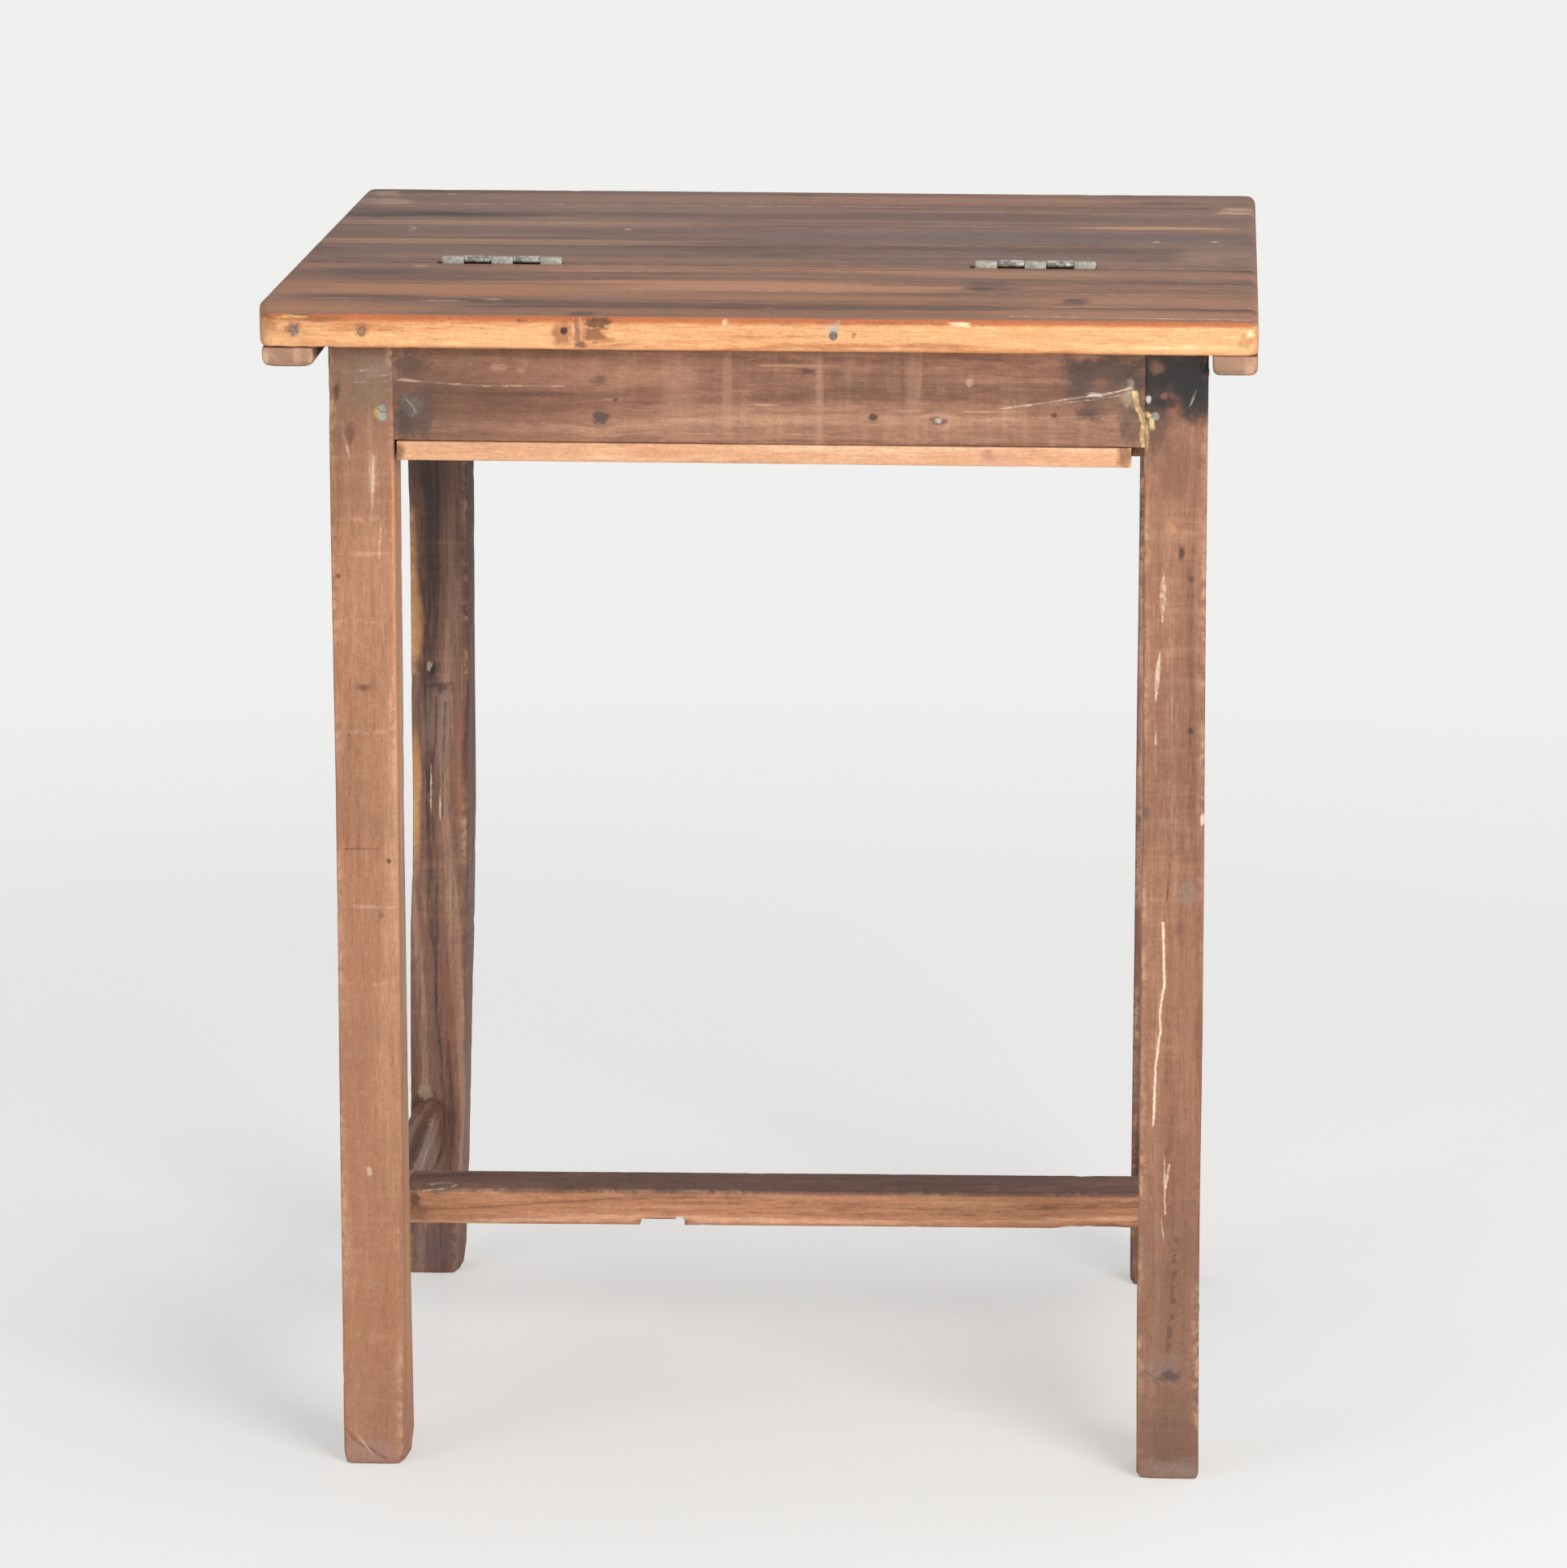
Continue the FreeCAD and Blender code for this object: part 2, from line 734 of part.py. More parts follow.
def build():
    """Every piece of the desk by its name."""
    spans = top_boards()
    slab = top_slab()
    pieces = frame_pieces()
    pieces.update(cleats())
    for name, (y0, y1) in spans.items():
        pieces[name] = top_board(slab, y0, y1)
    wood = list(pieces)
    fixed_boards = [name for name in spans if name.startswith("fixed")]
    lid_boards = [name for name in spans if name.startswith("lid")]

    nails = {
        "edge_nails": edge_nails(),
        "fixed_top_nails": fixed_top_nails(spans),
        "fixed_cleat_nails": cleat_nails(fixed_boards, spans, fixed_cleat_nail_shares),
        "lid_cleat_nails": cleat_nails(lid_boards, spans, lid_cleat_nail_shares),
        "floor_nails": floor_nails(),
        "joint_nails": joint_nails(),
    }
    for group in nails.values():
        drilled(pieces, wood, group)

    screws = {"fixed_leaf_screws": [], "lid_leaf_screws": []}
    leaves = {
        ("fixed_leaf", -1): fixed_boards[-1],
        ("lid_leaf", 1): lid_boards[0],
    }
    for side, start in hinge_starts.items():
        pieces["hinge_%s_pin" % side] = hinge_pin(start)
        for (leaf_name, side_y), board in leaves.items():
            name = "hinge_%s_%s" % (side, leaf_name)
            pieces[board] = pieces[board].cut(hinge_recess(start, side_y))
            pieces[name] = hinge_leaf(start, side_y)
            for body, hole in leaf_screws(start, side_y):
                pieces[board] = pieces[board].cut(hole)
                pieces[name] = pieces[name].cut(hole)
                screws[leaf_name + "_screws"].append(body)

    for name, group in list(nails.items()) + list(screws.items()):
        pieces[name] = Part.makeCompound(group)
    return pieces


def main():
    """Writes each piece to a file of its own."""
    os.makedirs("parts", exist_ok=True)
    for name, shape in build().items():
        if len(shape.Solids) == 1:
            shape = shape.Solids[0]
        shape.exportStep("parts/%s.step" % name)
        print(name, len(shape.Solids), shape.isValid(), round(shape.Volume))


main()
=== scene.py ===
import math

import bmesh
import bpy
from mathutils import Matrix, Vector, noise


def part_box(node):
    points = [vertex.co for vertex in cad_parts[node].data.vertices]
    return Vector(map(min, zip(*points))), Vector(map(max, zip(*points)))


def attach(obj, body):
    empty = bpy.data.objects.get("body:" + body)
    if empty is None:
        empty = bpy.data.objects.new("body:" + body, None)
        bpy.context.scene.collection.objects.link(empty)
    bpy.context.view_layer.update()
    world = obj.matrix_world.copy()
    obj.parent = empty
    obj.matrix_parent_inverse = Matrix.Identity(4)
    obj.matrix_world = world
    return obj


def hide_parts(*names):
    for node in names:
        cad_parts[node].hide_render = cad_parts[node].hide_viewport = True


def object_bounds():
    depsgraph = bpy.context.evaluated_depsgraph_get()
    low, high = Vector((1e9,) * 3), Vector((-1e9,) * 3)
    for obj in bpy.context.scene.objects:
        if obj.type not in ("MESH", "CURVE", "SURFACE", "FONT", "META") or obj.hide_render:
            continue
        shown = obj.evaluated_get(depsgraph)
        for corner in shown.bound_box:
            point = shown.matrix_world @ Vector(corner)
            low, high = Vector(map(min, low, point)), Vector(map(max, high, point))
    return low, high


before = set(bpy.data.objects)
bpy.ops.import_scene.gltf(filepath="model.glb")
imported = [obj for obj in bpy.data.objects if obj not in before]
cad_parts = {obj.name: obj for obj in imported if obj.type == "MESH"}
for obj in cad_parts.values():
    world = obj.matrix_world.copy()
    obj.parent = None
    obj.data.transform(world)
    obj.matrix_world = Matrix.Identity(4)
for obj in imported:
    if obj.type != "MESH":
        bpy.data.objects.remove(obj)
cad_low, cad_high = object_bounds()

# An old school desk of reclaimed teak, seen from its back. X runs along the
# width, -Y is the back, Z is up. Lengths are in metres. The tables of marks,
# knots, dents and leg shapes, and names that end in mm, are in millimetres.
MM = 0.001
SAME_POINT = 1e-6
SAME_LEVEL = 1e-4


def mm(*values):
    """A point or size given in millimetres."""
    return Vector(values) * MM


def colour(red, green, blue):
    """A colour as the shaders take it, from how it looks on a screen, 0 to 255."""
    linear = []
    for value in (red, green, blue):
        share = value / 255
        linear.append(share / 12.92 if share <= 0.04045 else ((share + 0.055) / 1.055) ** 2.4)
    return (*linear, 1.0)


# Shader helpers

def wire(tree, socket, value):
    """Joins a socket to a node's output, or sets it to a value."""
    if isinstance(value, bpy.types.NodeSocket):
        tree.links.new(value, socket)
    elif value is not None:
        socket.default_value = value


def add(tree, kind, values, **settings):
    """Adds a node with its settings and inputs."""
    node = tree.nodes.new(kind)
    for name, setting in settings.items():
        setattr(node, name, setting)
    for key, value in values.items():
        wire(tree, node.inputs[key], value)
    return node


def calc(tree, operation, a, b=None, clamp=False):
    """One step of arithmetic."""
    node = add(tree, "ShaderNodeMath", {0: a, 1: b}, operation=operation, use_clamp=clamp)
    return node.outputs[0]


def plus(tree, a, b):
    """The sum of two numbers."""
    return calc(tree, "ADD", a, b)


def minus(tree, a, b):
    """The first number less the second."""
    return calc(tree, "SUBTRACT", a, b)


def times(tree, a, b):
    """The product of two numbers."""
    return calc(tree, "MULTIPLY", a, b)


def vector(tree, operation, a, b=None):
    """One step of vector arithmetic."""
    return add(tree, "ShaderNodeVectorMath", {0: a, 1: b}, operation=operation).outputs[0]


def measure(tree, operation, a, b=None):
    """A length or another single number worked out from vectors."""
    return add(tree, "ShaderNodeVectorMath", {0: a, 1: b}, operation=operation).outputs["Value"]


def fade(tree, value, start, end):
    """0 before start, 1 after end, with a soft passage; it falls if end is the smaller."""
    values = {0: value, 1: start, 2: end, 3: 0.0, 4: 1.0}
    return add(tree, "ShaderNodeMapRange", values, interpolation_type="SMOOTHSTEP").outputs[0]


def mixed(tree, share, a, b, kind="MIX"):
    """Two colours blended."""
    values = {0: share, 6: a, 7: b}
    node = add(tree, "ShaderNodeMix", values, data_type="RGBA", blend_type=kind, clamp_result=False)
    return node.outputs[2]


def halves(tree, a, b):
    """The mean of two numbers."""
    return plus(tree, times(tree, a, 0.5), times(tree, b, 0.5))


def tinted(tree, base, mask, strength, tint):
    """The wood covered by a screen colour where a mask lies, as strongly as given."""
    return mixed(tree, times(tree, mask, strength), base, colour(*tint))


def clouds(tree, place, scale, detail=2.0, rough=0.5, seed=None):
    """Noise whose size along each axis is set by a scale in features per metre."""
    shift = None
    if seed is not None:
        shift = add(tree, "ShaderNodeCombineXYZ", {0: seed, 1: seed, 2: seed}).outputs[0]
    return noise_at(tree, {"Vector": place, "Location": shift, "Scale": scale}, detail, rough)


def noise_at(tree, mapping, detail, rough):
    """Noise read at a place that is first scaled, then moved."""
    stretched = add(tree, "ShaderNodeMapping", mapping, vector_type="POINT").outputs[0]
    values = {"Vector": stretched, "Scale": 1.0, "Detail": detail, "Roughness": rough}
    return add(tree, "ShaderNodeTexNoise", values, noise_dimensions="3D").outputs[0]


SOCKETS = {"vector": "NodeSocketVector", "colour": "NodeSocketColor", "number": "NodeSocketFloat"}


def new_group(name, given, made):
    """An empty shader group with named inputs and outputs."""
    tree = bpy.data.node_groups.new(name, "ShaderNodeTree")
    for label, kind in given:
        tree.interface.new_socket(name=label, in_out="INPUT", socket_type=SOCKETS[kind])
    for label, kind in made:
        tree.interface.new_socket(name=label, in_out="OUTPUT", socket_type=SOCKETS[kind])
    source = tree.nodes.new("NodeGroupInput")
    sink = tree.nodes.new("NodeGroupOutput")
    return tree, source.outputs, sink.inputs


def use_group(tree, group, values):
    """Puts a shader group into a tree."""
    node = tree.nodes.new("ShaderNodeGroup")
    node.node_tree = group
    for key, value in values.items():
        wire(tree, node.inputs[key], value)
    return node.outputs


# Shader groups

def figure_group():
    """The figure of a plank of teak: year rings, broad bands, streaks, fibre and pores."""
    tree, given, made = new_group(
        "teak figure",
        [("Place", "vector"), ("Pith", "vector"), ("Ring width", "number"), ("Seed", "number"),
         ("Ring share", "number")],
        [("Tone", "number"), ("Fibre", "number"), ("Pores", "number")],
    )
    place, seed = given["Place"], given["Seed"]
    sway = times(tree, minus(tree, clouds(tree, place, (2.2, 6.0, 6.0), 2.0, 0.5, seed), 0.5), 0.055)
    offset = vector(tree, "SUBTRACT", place, given["Pith"])
    flat = vector(tree, "MULTIPLY", offset, (0.0, 1.0, 1.0))
    reach = measure(tree, "LENGTH", flat)
    reach = calc(tree, "DIVIDE", plus(tree, reach, sway), given["Ring width"])
    reach = plus(tree, reach, seed)
    noise_of_rings = {"W": reach, "Scale": 0.5, "Detail": 2.5, "Roughness": 0.62}
    rings = add(tree, "ShaderNodeTexNoise", noise_of_rings, noise_dimensions="1D").outputs[0]
    bands = clouds(tree, place, (1.6, 30.0, 30.0), 2.5, 0.55, seed)
    streaks = clouds(tree, place, (5.0, 190.0, 190.0), 3.0, 0.6, seed)
    flecks = clouds(tree, place, (48.0, 430.0, 430.0), 4.0, 0.72, seed)
    fibre = clouds(tree, place, (60.0, 900.0, 900.0), 4.0, 0.75, seed)
    plain = minus(tree, 1.0, given["Ring share"])
    tone = times(tree, rings, given["Ring share"])
    rest = halves(tree, bands, streaks)
    tone = plus(tree, tone, times(tree, rest, plain))
    tone = plus(tree, tone, times(tree, minus(tree, flecks, 0.5), 0.3))
    wire(tree, made["Tone"], tone)
    wire(tree, made["Fibre"], fibre)
    pores = clouds(tree, place, (70.0, 2300.0, 2300.0), 1.0, 0.5, seed)
    wire(tree, made["Pores"], fade(tree, pores, 0.62, 0.70))
    return tree


def tones_group():
    """Three colours along a tone, with the fibre and pores in them."""
    tree, given, made = new_group(
        "wood tones",
        [("Tone", "number"), ("Fibre", "number"), ("Pores", "number"),
         ("Dark", "colour"), ("Middle", "colour"), ("Light", "colour")],
        [("Colour", "colour")],
    )
    low = mixed(tree, fade(tree, given["Tone"], 0.36, 0.49), given["Dark"], given["Middle"])
    base = mixed(tree, fade(tree, given["Tone"], 0.51, 0.63), low, given["Light"])
    shade = plus(tree, times(tree, given["Fibre"], 0.9), 0.55)
    base = mixed(tree, 1.0, base, shade, "MULTIPLY")
    wire(tree, made["Colour"], mixed(tree, times(tree, given["Pores"], 0.35), base, given["Dark"]))
    return tree


def spot_group():
    """A patch with a ragged edge round a given point, as a mask."""
    tree, given, made = new_group(
        "ragged spot",
        [("Place", "vector"), ("Centre", "vector"), ("Reach", "vector"), ("Raggedness", "number"),
         ("Softness", "number")],
        [("Mask", "number")],
    )
    offset = vector(tree, "SUBTRACT", given["Place"], given["Centre"])
    shares = vector(tree, "DIVIDE", offset, given["Reach"])
    distance = measure(tree, "LENGTH", shares)
    # The ragged edge is as fine as the spot is small, and differs from spot to spot.
    scale = vector(tree, "DIVIDE", (1.5, 1.5, 1.5), given["Reach"])
    start = vector(tree, "MULTIPLY", given["Centre"], (135.0, 135.0, 135.0))
    start = vector(tree, "SUBTRACT", start, vector(tree, "MULTIPLY", given["Centre"], scale))
    mapping = {"Vector": given["Place"], "Location": start, "Scale": scale}
    edge = minus(tree, noise_at(tree, mapping, 4.0, 0.68), 0.5)
    distance = plus(tree, distance, times(tree, edge, given["Raggedness"]))
    inner = minus(tree, 1.0, given["Softness"])
    wire(tree, made["Mask"], fade(tree, distance, 1.0, inner))
    return tree


def streak_group():
    """A thin wandering line from a point along a run, as a mask. It breaks off where gaps are."""
    tree, given, made = new_group(
        "thin streak",
        [("Place", "vector"), ("Start", "vector"), ("Run", "vector"), ("Flatness", "vector"),
         ("Width", "number"), ("Taper", "number"), ("Broken", "number"), ("Uneven", "number"),
         ("Gaps", "number")],
        [("Mask", "number")],
    )
    place, run = given["Place"], given["Run"]
    offset = vector(tree, "SUBTRACT", place, given["Start"])
    along = calc(tree, "DIVIDE", measure(tree, "DOT_PRODUCT", offset, run),
                 measure(tree, "DOT_PRODUCT", run, run))
    nearest = add(tree, "ShaderNodeVectorMath", {0: run, 3: along}, operation="SCALE").outputs[0]
    aside = measure(tree, "LENGTH", vector(
        tree, "MULTIPLY", vector(tree, "SUBTRACT", offset, nearest), given["Flatness"]))
    full = times(tree, fade(tree, along, -0.05, 0.45), fade(tree, along, 1.05, 0.55))
    thinned = times(tree, minus(tree, 1.0, full), given["Taper"])
    width = times(tree, given["Width"], minus(tree, 1.0, thinned))
    width = times(tree, width, given["Uneven"])
    sharp = fade(tree, calc(tree, "DIVIDE", aside, width), 1.1, 0.5)
    ended = times(tree, fade(tree, along, -0.03, 0.02), fade(tree, along, 1.03, 0.98))
    kept = minus(tree, 1.0, times(tree, given["Gaps"], given["Broken"]))
    wire(tree, made["Mask"], times(tree, times(tree, sharp, ended), kept))
    return tree


def knot_flow_group():
    """Bends the figure round a knot, by moving where it is read."""
    tree, given, made = new_group(
        "grain round a knot",
        [("Place", "vector"), ("Centre", "vector"), ("Reach", "vector")],
        [("Place", "vector")],
    )
    offset = vector(tree, "SUBTRACT", given["Place"], given["Centre"])
    shares = vector(tree, "DIVIDE", offset, given["Reach"])
    distance = measure(tree, "LENGTH", shares)
    pull = times(tree, fade(tree, distance, 1.6, 0.0), -0.85)
    pull = add(tree, "ShaderNodeCombineXYZ", {0: 0.0, 1: pull, 2: pull}).outputs[0]
    moved = vector(tree, "MULTIPLY", offset, pull)
    wire(tree, made["Place"], vector(tree, "ADD", given["Place"], moved))
    return tree


def saw_group():
    """Fine marks left across the grain by a saw, as a height and a pale mask."""
    tree, given, made = new_group(
        "saw marks",
        [("Place", "vector"), ("Seed", "number")],
        [("Height", "number"), ("Pale", "number")],
    )
    fine = clouds(tree, given["Place"], (430.0, 24.0, 24.0), 2.0, 0.6, given["Seed"])
    broad = clouds(tree, given["Place"], (110.0, 9.0, 9.0), 3.0, 0.65, given["Seed"])
    here = fade(tree, clouds(tree, given["Place"], (7.0, 22.0, 22.0), 2.0, 0.6, given["Seed"]), 0.42, 0.62)
    wire(tree, made["Height"], times(tree, fine, here))
    pale = plus(tree, times(tree, fine, 0.3), times(tree, broad, 0.7))
    wire(tree, made["Pale"], times(tree, fade(tree, pale, 0.45, 0.72), here))
    return tree


def scratch_group():
    """Thin pale scratches and dashes that run along the grain, as a mask."""
    tree, given, made = new_group(
        "pale scratches", [("Place", "vector"), ("Seed", "number")], [("Mask", "number")],
    )
    lines = clouds(tree, given["Place"], (5.0, 330.0, 330.0), 1.5, 0.5, given["Seed"])
    breaks = clouds(tree, given["Place"], (24.0, 60.0, 60.0), 2.0, 0.6, given["Seed"])
    mask = times(tree, fade(tree, lines, 0.66, 0.72), fade(tree, breaks, 0.5, 0.6))
    wire(tree, made["Mask"], mask)
    return tree


def grime_group():
    """Broad clouds of dirt and darker handling, as a mask."""
    tree, given, made = new_group(
        "grime", [("Place", "vector"), ("Seed", "number")], [("Mask", "number")],
    )
    large = clouds(tree, given["Place"], (5.0, 14.0, 14.0), 4.0, 0.6, given["Seed"])
    small = clouds(tree, given["Place"], (60.0, 160.0, 160.0), 3.0, 0.6, given["Seed"])
    both = plus(tree, times(tree, large, 0.72), times(tree, small, 0.28))
    wire(tree, made["Mask"], fade(tree, both, 0.44, 0.66))
    return tree


FIGURE = figure_group()
TONES = tones_group()
SPOT = spot_group()
STREAK = streak_group()
KNOT_FLOW = knot_flow_group()
SAW = saw_group()
SCRATCHES = scratch_group()
GRIME = grime_group()

# Materials and colours

def new_material(name):
    """A material without nodes, and its tree."""
    material = bpy.data.materials.new(name)
    material.use_nodes = True
    material.node_tree.nodes.clear()
    return material, material.node_tree


def give_surface(tree, shader):
    """Gives the material's surface its shader."""
    target = tree.nodes.new("ShaderNodeOutputMaterial")
    tree.links.new(shader.outputs[0], target.inputs["Surface"])


# Colours as they look on a screen, 0 to 255: first the dark, the middle and the light wood of
# each kind of piece, then the stains, the worn places and the marks.
LID_BROWN = ((96, 74, 64), (132, 103, 90), (162, 124, 104))
FIXED_BROWN = ((98, 72, 58), (148, 108, 86), (190, 134, 102))
EDGE_GOLD = ((184, 122, 80), (220, 163, 114), (236, 189, 140))
APRON_BROWN = ((120, 82, 64), (148, 105, 83), (168, 124, 99))
FLOOR_PALE = ((172, 116, 82), (203, 152, 115), (219, 176, 140))
LEG_ORANGE = ((142, 95, 69), (166, 116, 87), (185, 138, 106))
LEG_RED = ((122, 81, 61), (143, 99, 76), (162, 117, 92))
LEG_FAR = ((68, 46, 38), (118, 84, 70), (152, 116, 97))
RAIL_ORANGE = ((128, 82, 58), (178, 124, 92), (206, 154, 122))
RAIL_TOP = ((80, 58, 49), (111, 80, 69), (143, 106, 91))
CLEAT_BROWN = ((80, 60, 50), (124, 94, 78), (154, 120, 100))

DIRT = (62, 48, 42)
BLACK_STAIN = (30, 28, 29)
KNOT_BROWN = (70, 44, 34)
PALE_WEAR = (214, 172, 136)
ORANGE_WEAR = (196, 118, 66)
RED_WEAR = (184, 102, 58)
GREY_SMEAR = (172, 160, 146)
GLUE = (216, 186, 128)
SAPWOOD = (190, 138, 84)
END_GRAIN = (120, 80, 56)
BOARD_END_GRAIN = (170, 118, 82)
CLEAT_END_GRAIN = (196, 152, 122)
PALE_LINE = (222, 194, 170)
DARK_CHECK = (70, 44, 34)
# Painted shade, with dirt, under the hinge's rolled knuckles.
METAL_SHADE_AND_DIRT = (52, 42, 36)

# The axes along the grain and across it, for grain along X, Y or Z.
GRAIN_ORDER = {0: (0, 1, 2), 1: (1, 0, 2), 2: (2, 0, 1)}


def along_grain(values, grain):
    """Reorders three numbers so that the first is the one along the grain."""
    order = GRAIN_ORDER[grain]
    return tuple(values[n] for n in order)


def spot(centre_mm, reach_mm, tint, strength, ragged, soft=0.7):
    """A patch on the wood: its middle, half its size, its colour, cover, raggedness and softness."""
    return {
        "centre": mm(*centre_mm), "reach": mm(*reach_mm), "tint": tint,
        "strength": strength, "ragged": ragged, "soft": soft,
    }


# How much a distance along each axis counts for a line: less across the face that it lies on.
ON_TOP = (1.0, 1.0, 0.12)
ON_BACK = (1.0, 0.12, 1.0)
ON_INNER_SIDE = (0.12, 1.0, 1.0)
OVER_THE_ARRIS = (1.0, 0.3, 0.6)


def streak(points_mm, half_width_mm, tint, strength, broken, flatness=ON_BACK):
    """A thin line on the wood through some points: a scratch, a check or a run of glue."""
    return {
        "points": [mm(*point) for point in points_mm], "half": half_width_mm * MM, "tint": tint,
        "strength": strength, "broken": broken, "flatness": flatness,
    }


def marks_on_level(height_mm):
    """Makes the spot and the streak of a level face, where X and Y place them."""

    def place_spot(x, y, *look):
        return spot((x, y, height_mm), *look)

    def place_streak(points, *look):
        return streak([(x, y, height_mm) for x, y in points], *look, flatness=ON_TOP)

    return place_spot, place_streak


def marks_on_upright(depth_mm):
    """Makes the spot and the streak of a face that looks to the back, where X and Z place them."""

    def place_spot(x, z, *look):
        return spot((x, depth_mm, z), *look)

    def place_streak(points, *look):
        return streak([(x, depth_mm, z) for x, z in points], *look)

    return place_spot, place_streak


# The faces of the desk that show most, each with its height or its place along Y.
top_spot, top_streak = marks_on_level(750)
edge_spot, edge_streak = marks_on_upright(-279)
cleat_spot, cleat_streak = marks_on_upright(-277)
leg_spot, leg_streak = marks_on_upright(-261)
apron_spot, apron_streak = marks_on_upright(-259.5)
rail_spot, rail_streak = marks_on_upright(-54)
far_spot, far_streak = marks_on_upright(156)


def dents_in(depth_mm, rows):
    """Dents in a face that looks to the back: X, Z, reach and depth of each."""
    return [(mm(x, depth_mm, z), reach * MM, depth * MM) for x, z, reach, depth in rows]


def unevenness(tree, here):
    """How the widths of thin streaks vary, and where the streaks break off."""
    uneven = clouds(tree, here, (330.0, 330.0, 330.0), 3.0, 0.6)
    uneven = plus(tree, times(tree, uneven, 1.4), 0.4)
    gaps = fade(tree, clouds(tree, here, (150.0, 150.0, 150.0), 2.0, 0.6), 0.42, 0.52)
    return uneven, gaps


def shaken(tree, here):
    """The place moved by about a third of a millimetre, so that no mark has a clean edge."""
    shake = add(tree, "ShaderNodeTexNoise", {"Vector": here, "Scale": 300.0, "Detail": 3.0})
    shake = vector(tree, "SUBTRACT", shake.outputs["Color"], (0.5, 0.5, 0.5))
    return vector(tree, "ADD", here, vector(tree, "MULTIPLY", shake, (0.0012, 0.0012, 0.0012)))


def mark_mask(tree, here, mark, uneven, gaps):
    """Where a spot or a streak lies."""
    if "points" not in mark:
        return use_group(tree, SPOT, {
            "Place": here, "Centre": tuple(mark["centre"]), "Reach": tuple(mark["reach"]),
            "Raggedness": mark["ragged"], "Softness": mark["soft"],
        })["Mask"]
    mask = None
    for start, end in zip(mark["points"], mark["points"][1:]):
        part = use_group(tree, STREAK, {
            "Place": here, "Start": tuple(start), "Run": tuple(end - start), "Width": mark["half"],
            "Taper": 0.75 if len(mark["points"]) == 2 else 0.1, "Broken": mark["broken"],
            "Flatness": mark["flatness"], "Uneven": uneven, "Gaps": gaps,
        })["Mask"]
        mask = part if mask is None else calc(tree, "MAXIMUM", mask, part)
    return mask


def figure_place(tree, here, centre, grain, knots):
    """Where the figure is read: along the grain first, and bent round the knots."""
    parts = add(tree, "ShaderNodeSeparateXYZ", {0: vector(tree, "SUBTRACT", here, tuple(centre))})
    ordered = along_grain([parts.outputs[n] for n in range(3)], grain)
    place = add(tree, "ShaderNodeCombineXYZ", dict(enumerate(ordered))).outputs[0]
    for knot_centre, knot_reach in knots:
        offset = mm(*knot_centre) - Vector(centre)
        place = use_group(tree, KNOT_FLOW, {
            "Place": place, "Centre": along_grain(offset, grain),
            "Reach": along_grain(mm(*knot_reach), grain),
        })["Place"]
    return place


def in_tones(tree, figure, tones):
    """The figure in its dark, middle and light colour."""
    values = {name: figure[name] for name in ("Tone", "Fibre", "Pores")}
    for name, tone in zip(("Dark", "Middle", "Light"), tones):
        values[name] = colour(*tone)
    return use_group(tree, TONES, values)["Colour"]


def skin_share(tree, here, skin_from):
    """How much of the tanned skin shows: none below the first height, all above the second."""
    height = add(tree, "ShaderNodeSeparateXYZ", {0: here}).outputs[2]
    ripple = minus(tree, clouds(tree, here, (120.0, 120.0, 300.0), 3.0, 0.6), 0.5)
    height = plus(tree, height, times(tree, ripple, 0.0024))
    return fade(tree, height, *skin_from)


def marked(tree, here, base, marks):
    """The wood with its spots and streaks."""
    uneven, gaps = unevenness(tree, here)
    beside = shaken(tree, here)
    for mark in marks:
        mask = mark_mask(tree, beside, mark, uneven, gaps)
        base = tinted(tree, base, mask, mark["strength"], mark["tint"])
    return base


def kept_value(tree, name):
    """A value that the mesh keeps on its points."""
    node = add(tree, "ShaderNodeAttribute", {}, attribute_type="GEOMETRY", attribute_name=name)
    return node.outputs["Fac"]


def rubbed(tree, here):
    """Where hands and knees have rubbed the arrises, in patches."""
    wear = kept_value(tree, "wear")
    rub = clouds(tree, here, (170.0, 170.0, 170.0), 4.0, 0.7)
    stretch = clouds(tree, here, (16.0, 16.0, 16.0), 2.0, 0.5)
    patches = times(tree, fade(tree, rub, 0.40, 0.62), fade(tree, stretch, 0.44, 0.60))
    return times(tree, patches, wear)


def relief(tree, figure, sawn, saw, lines):
    """The fine relief of the wood: fibre, tone, pores, saw marks and scratches."""
    height = halves(tree, figure["Fibre"], figure["Tone"])
    height = minus(tree, height, times(tree, figure["Pores"], 0.35))
    height = plus(tree, height, times(tree, sawn["Height"], 0.3 + saw))
    height = minus(tree, height, times(tree, lines, 0.5))
    return add(tree, "ShaderNodeBump", {"Strength": 0.55, "Distance": 0.0005, "Height": height})


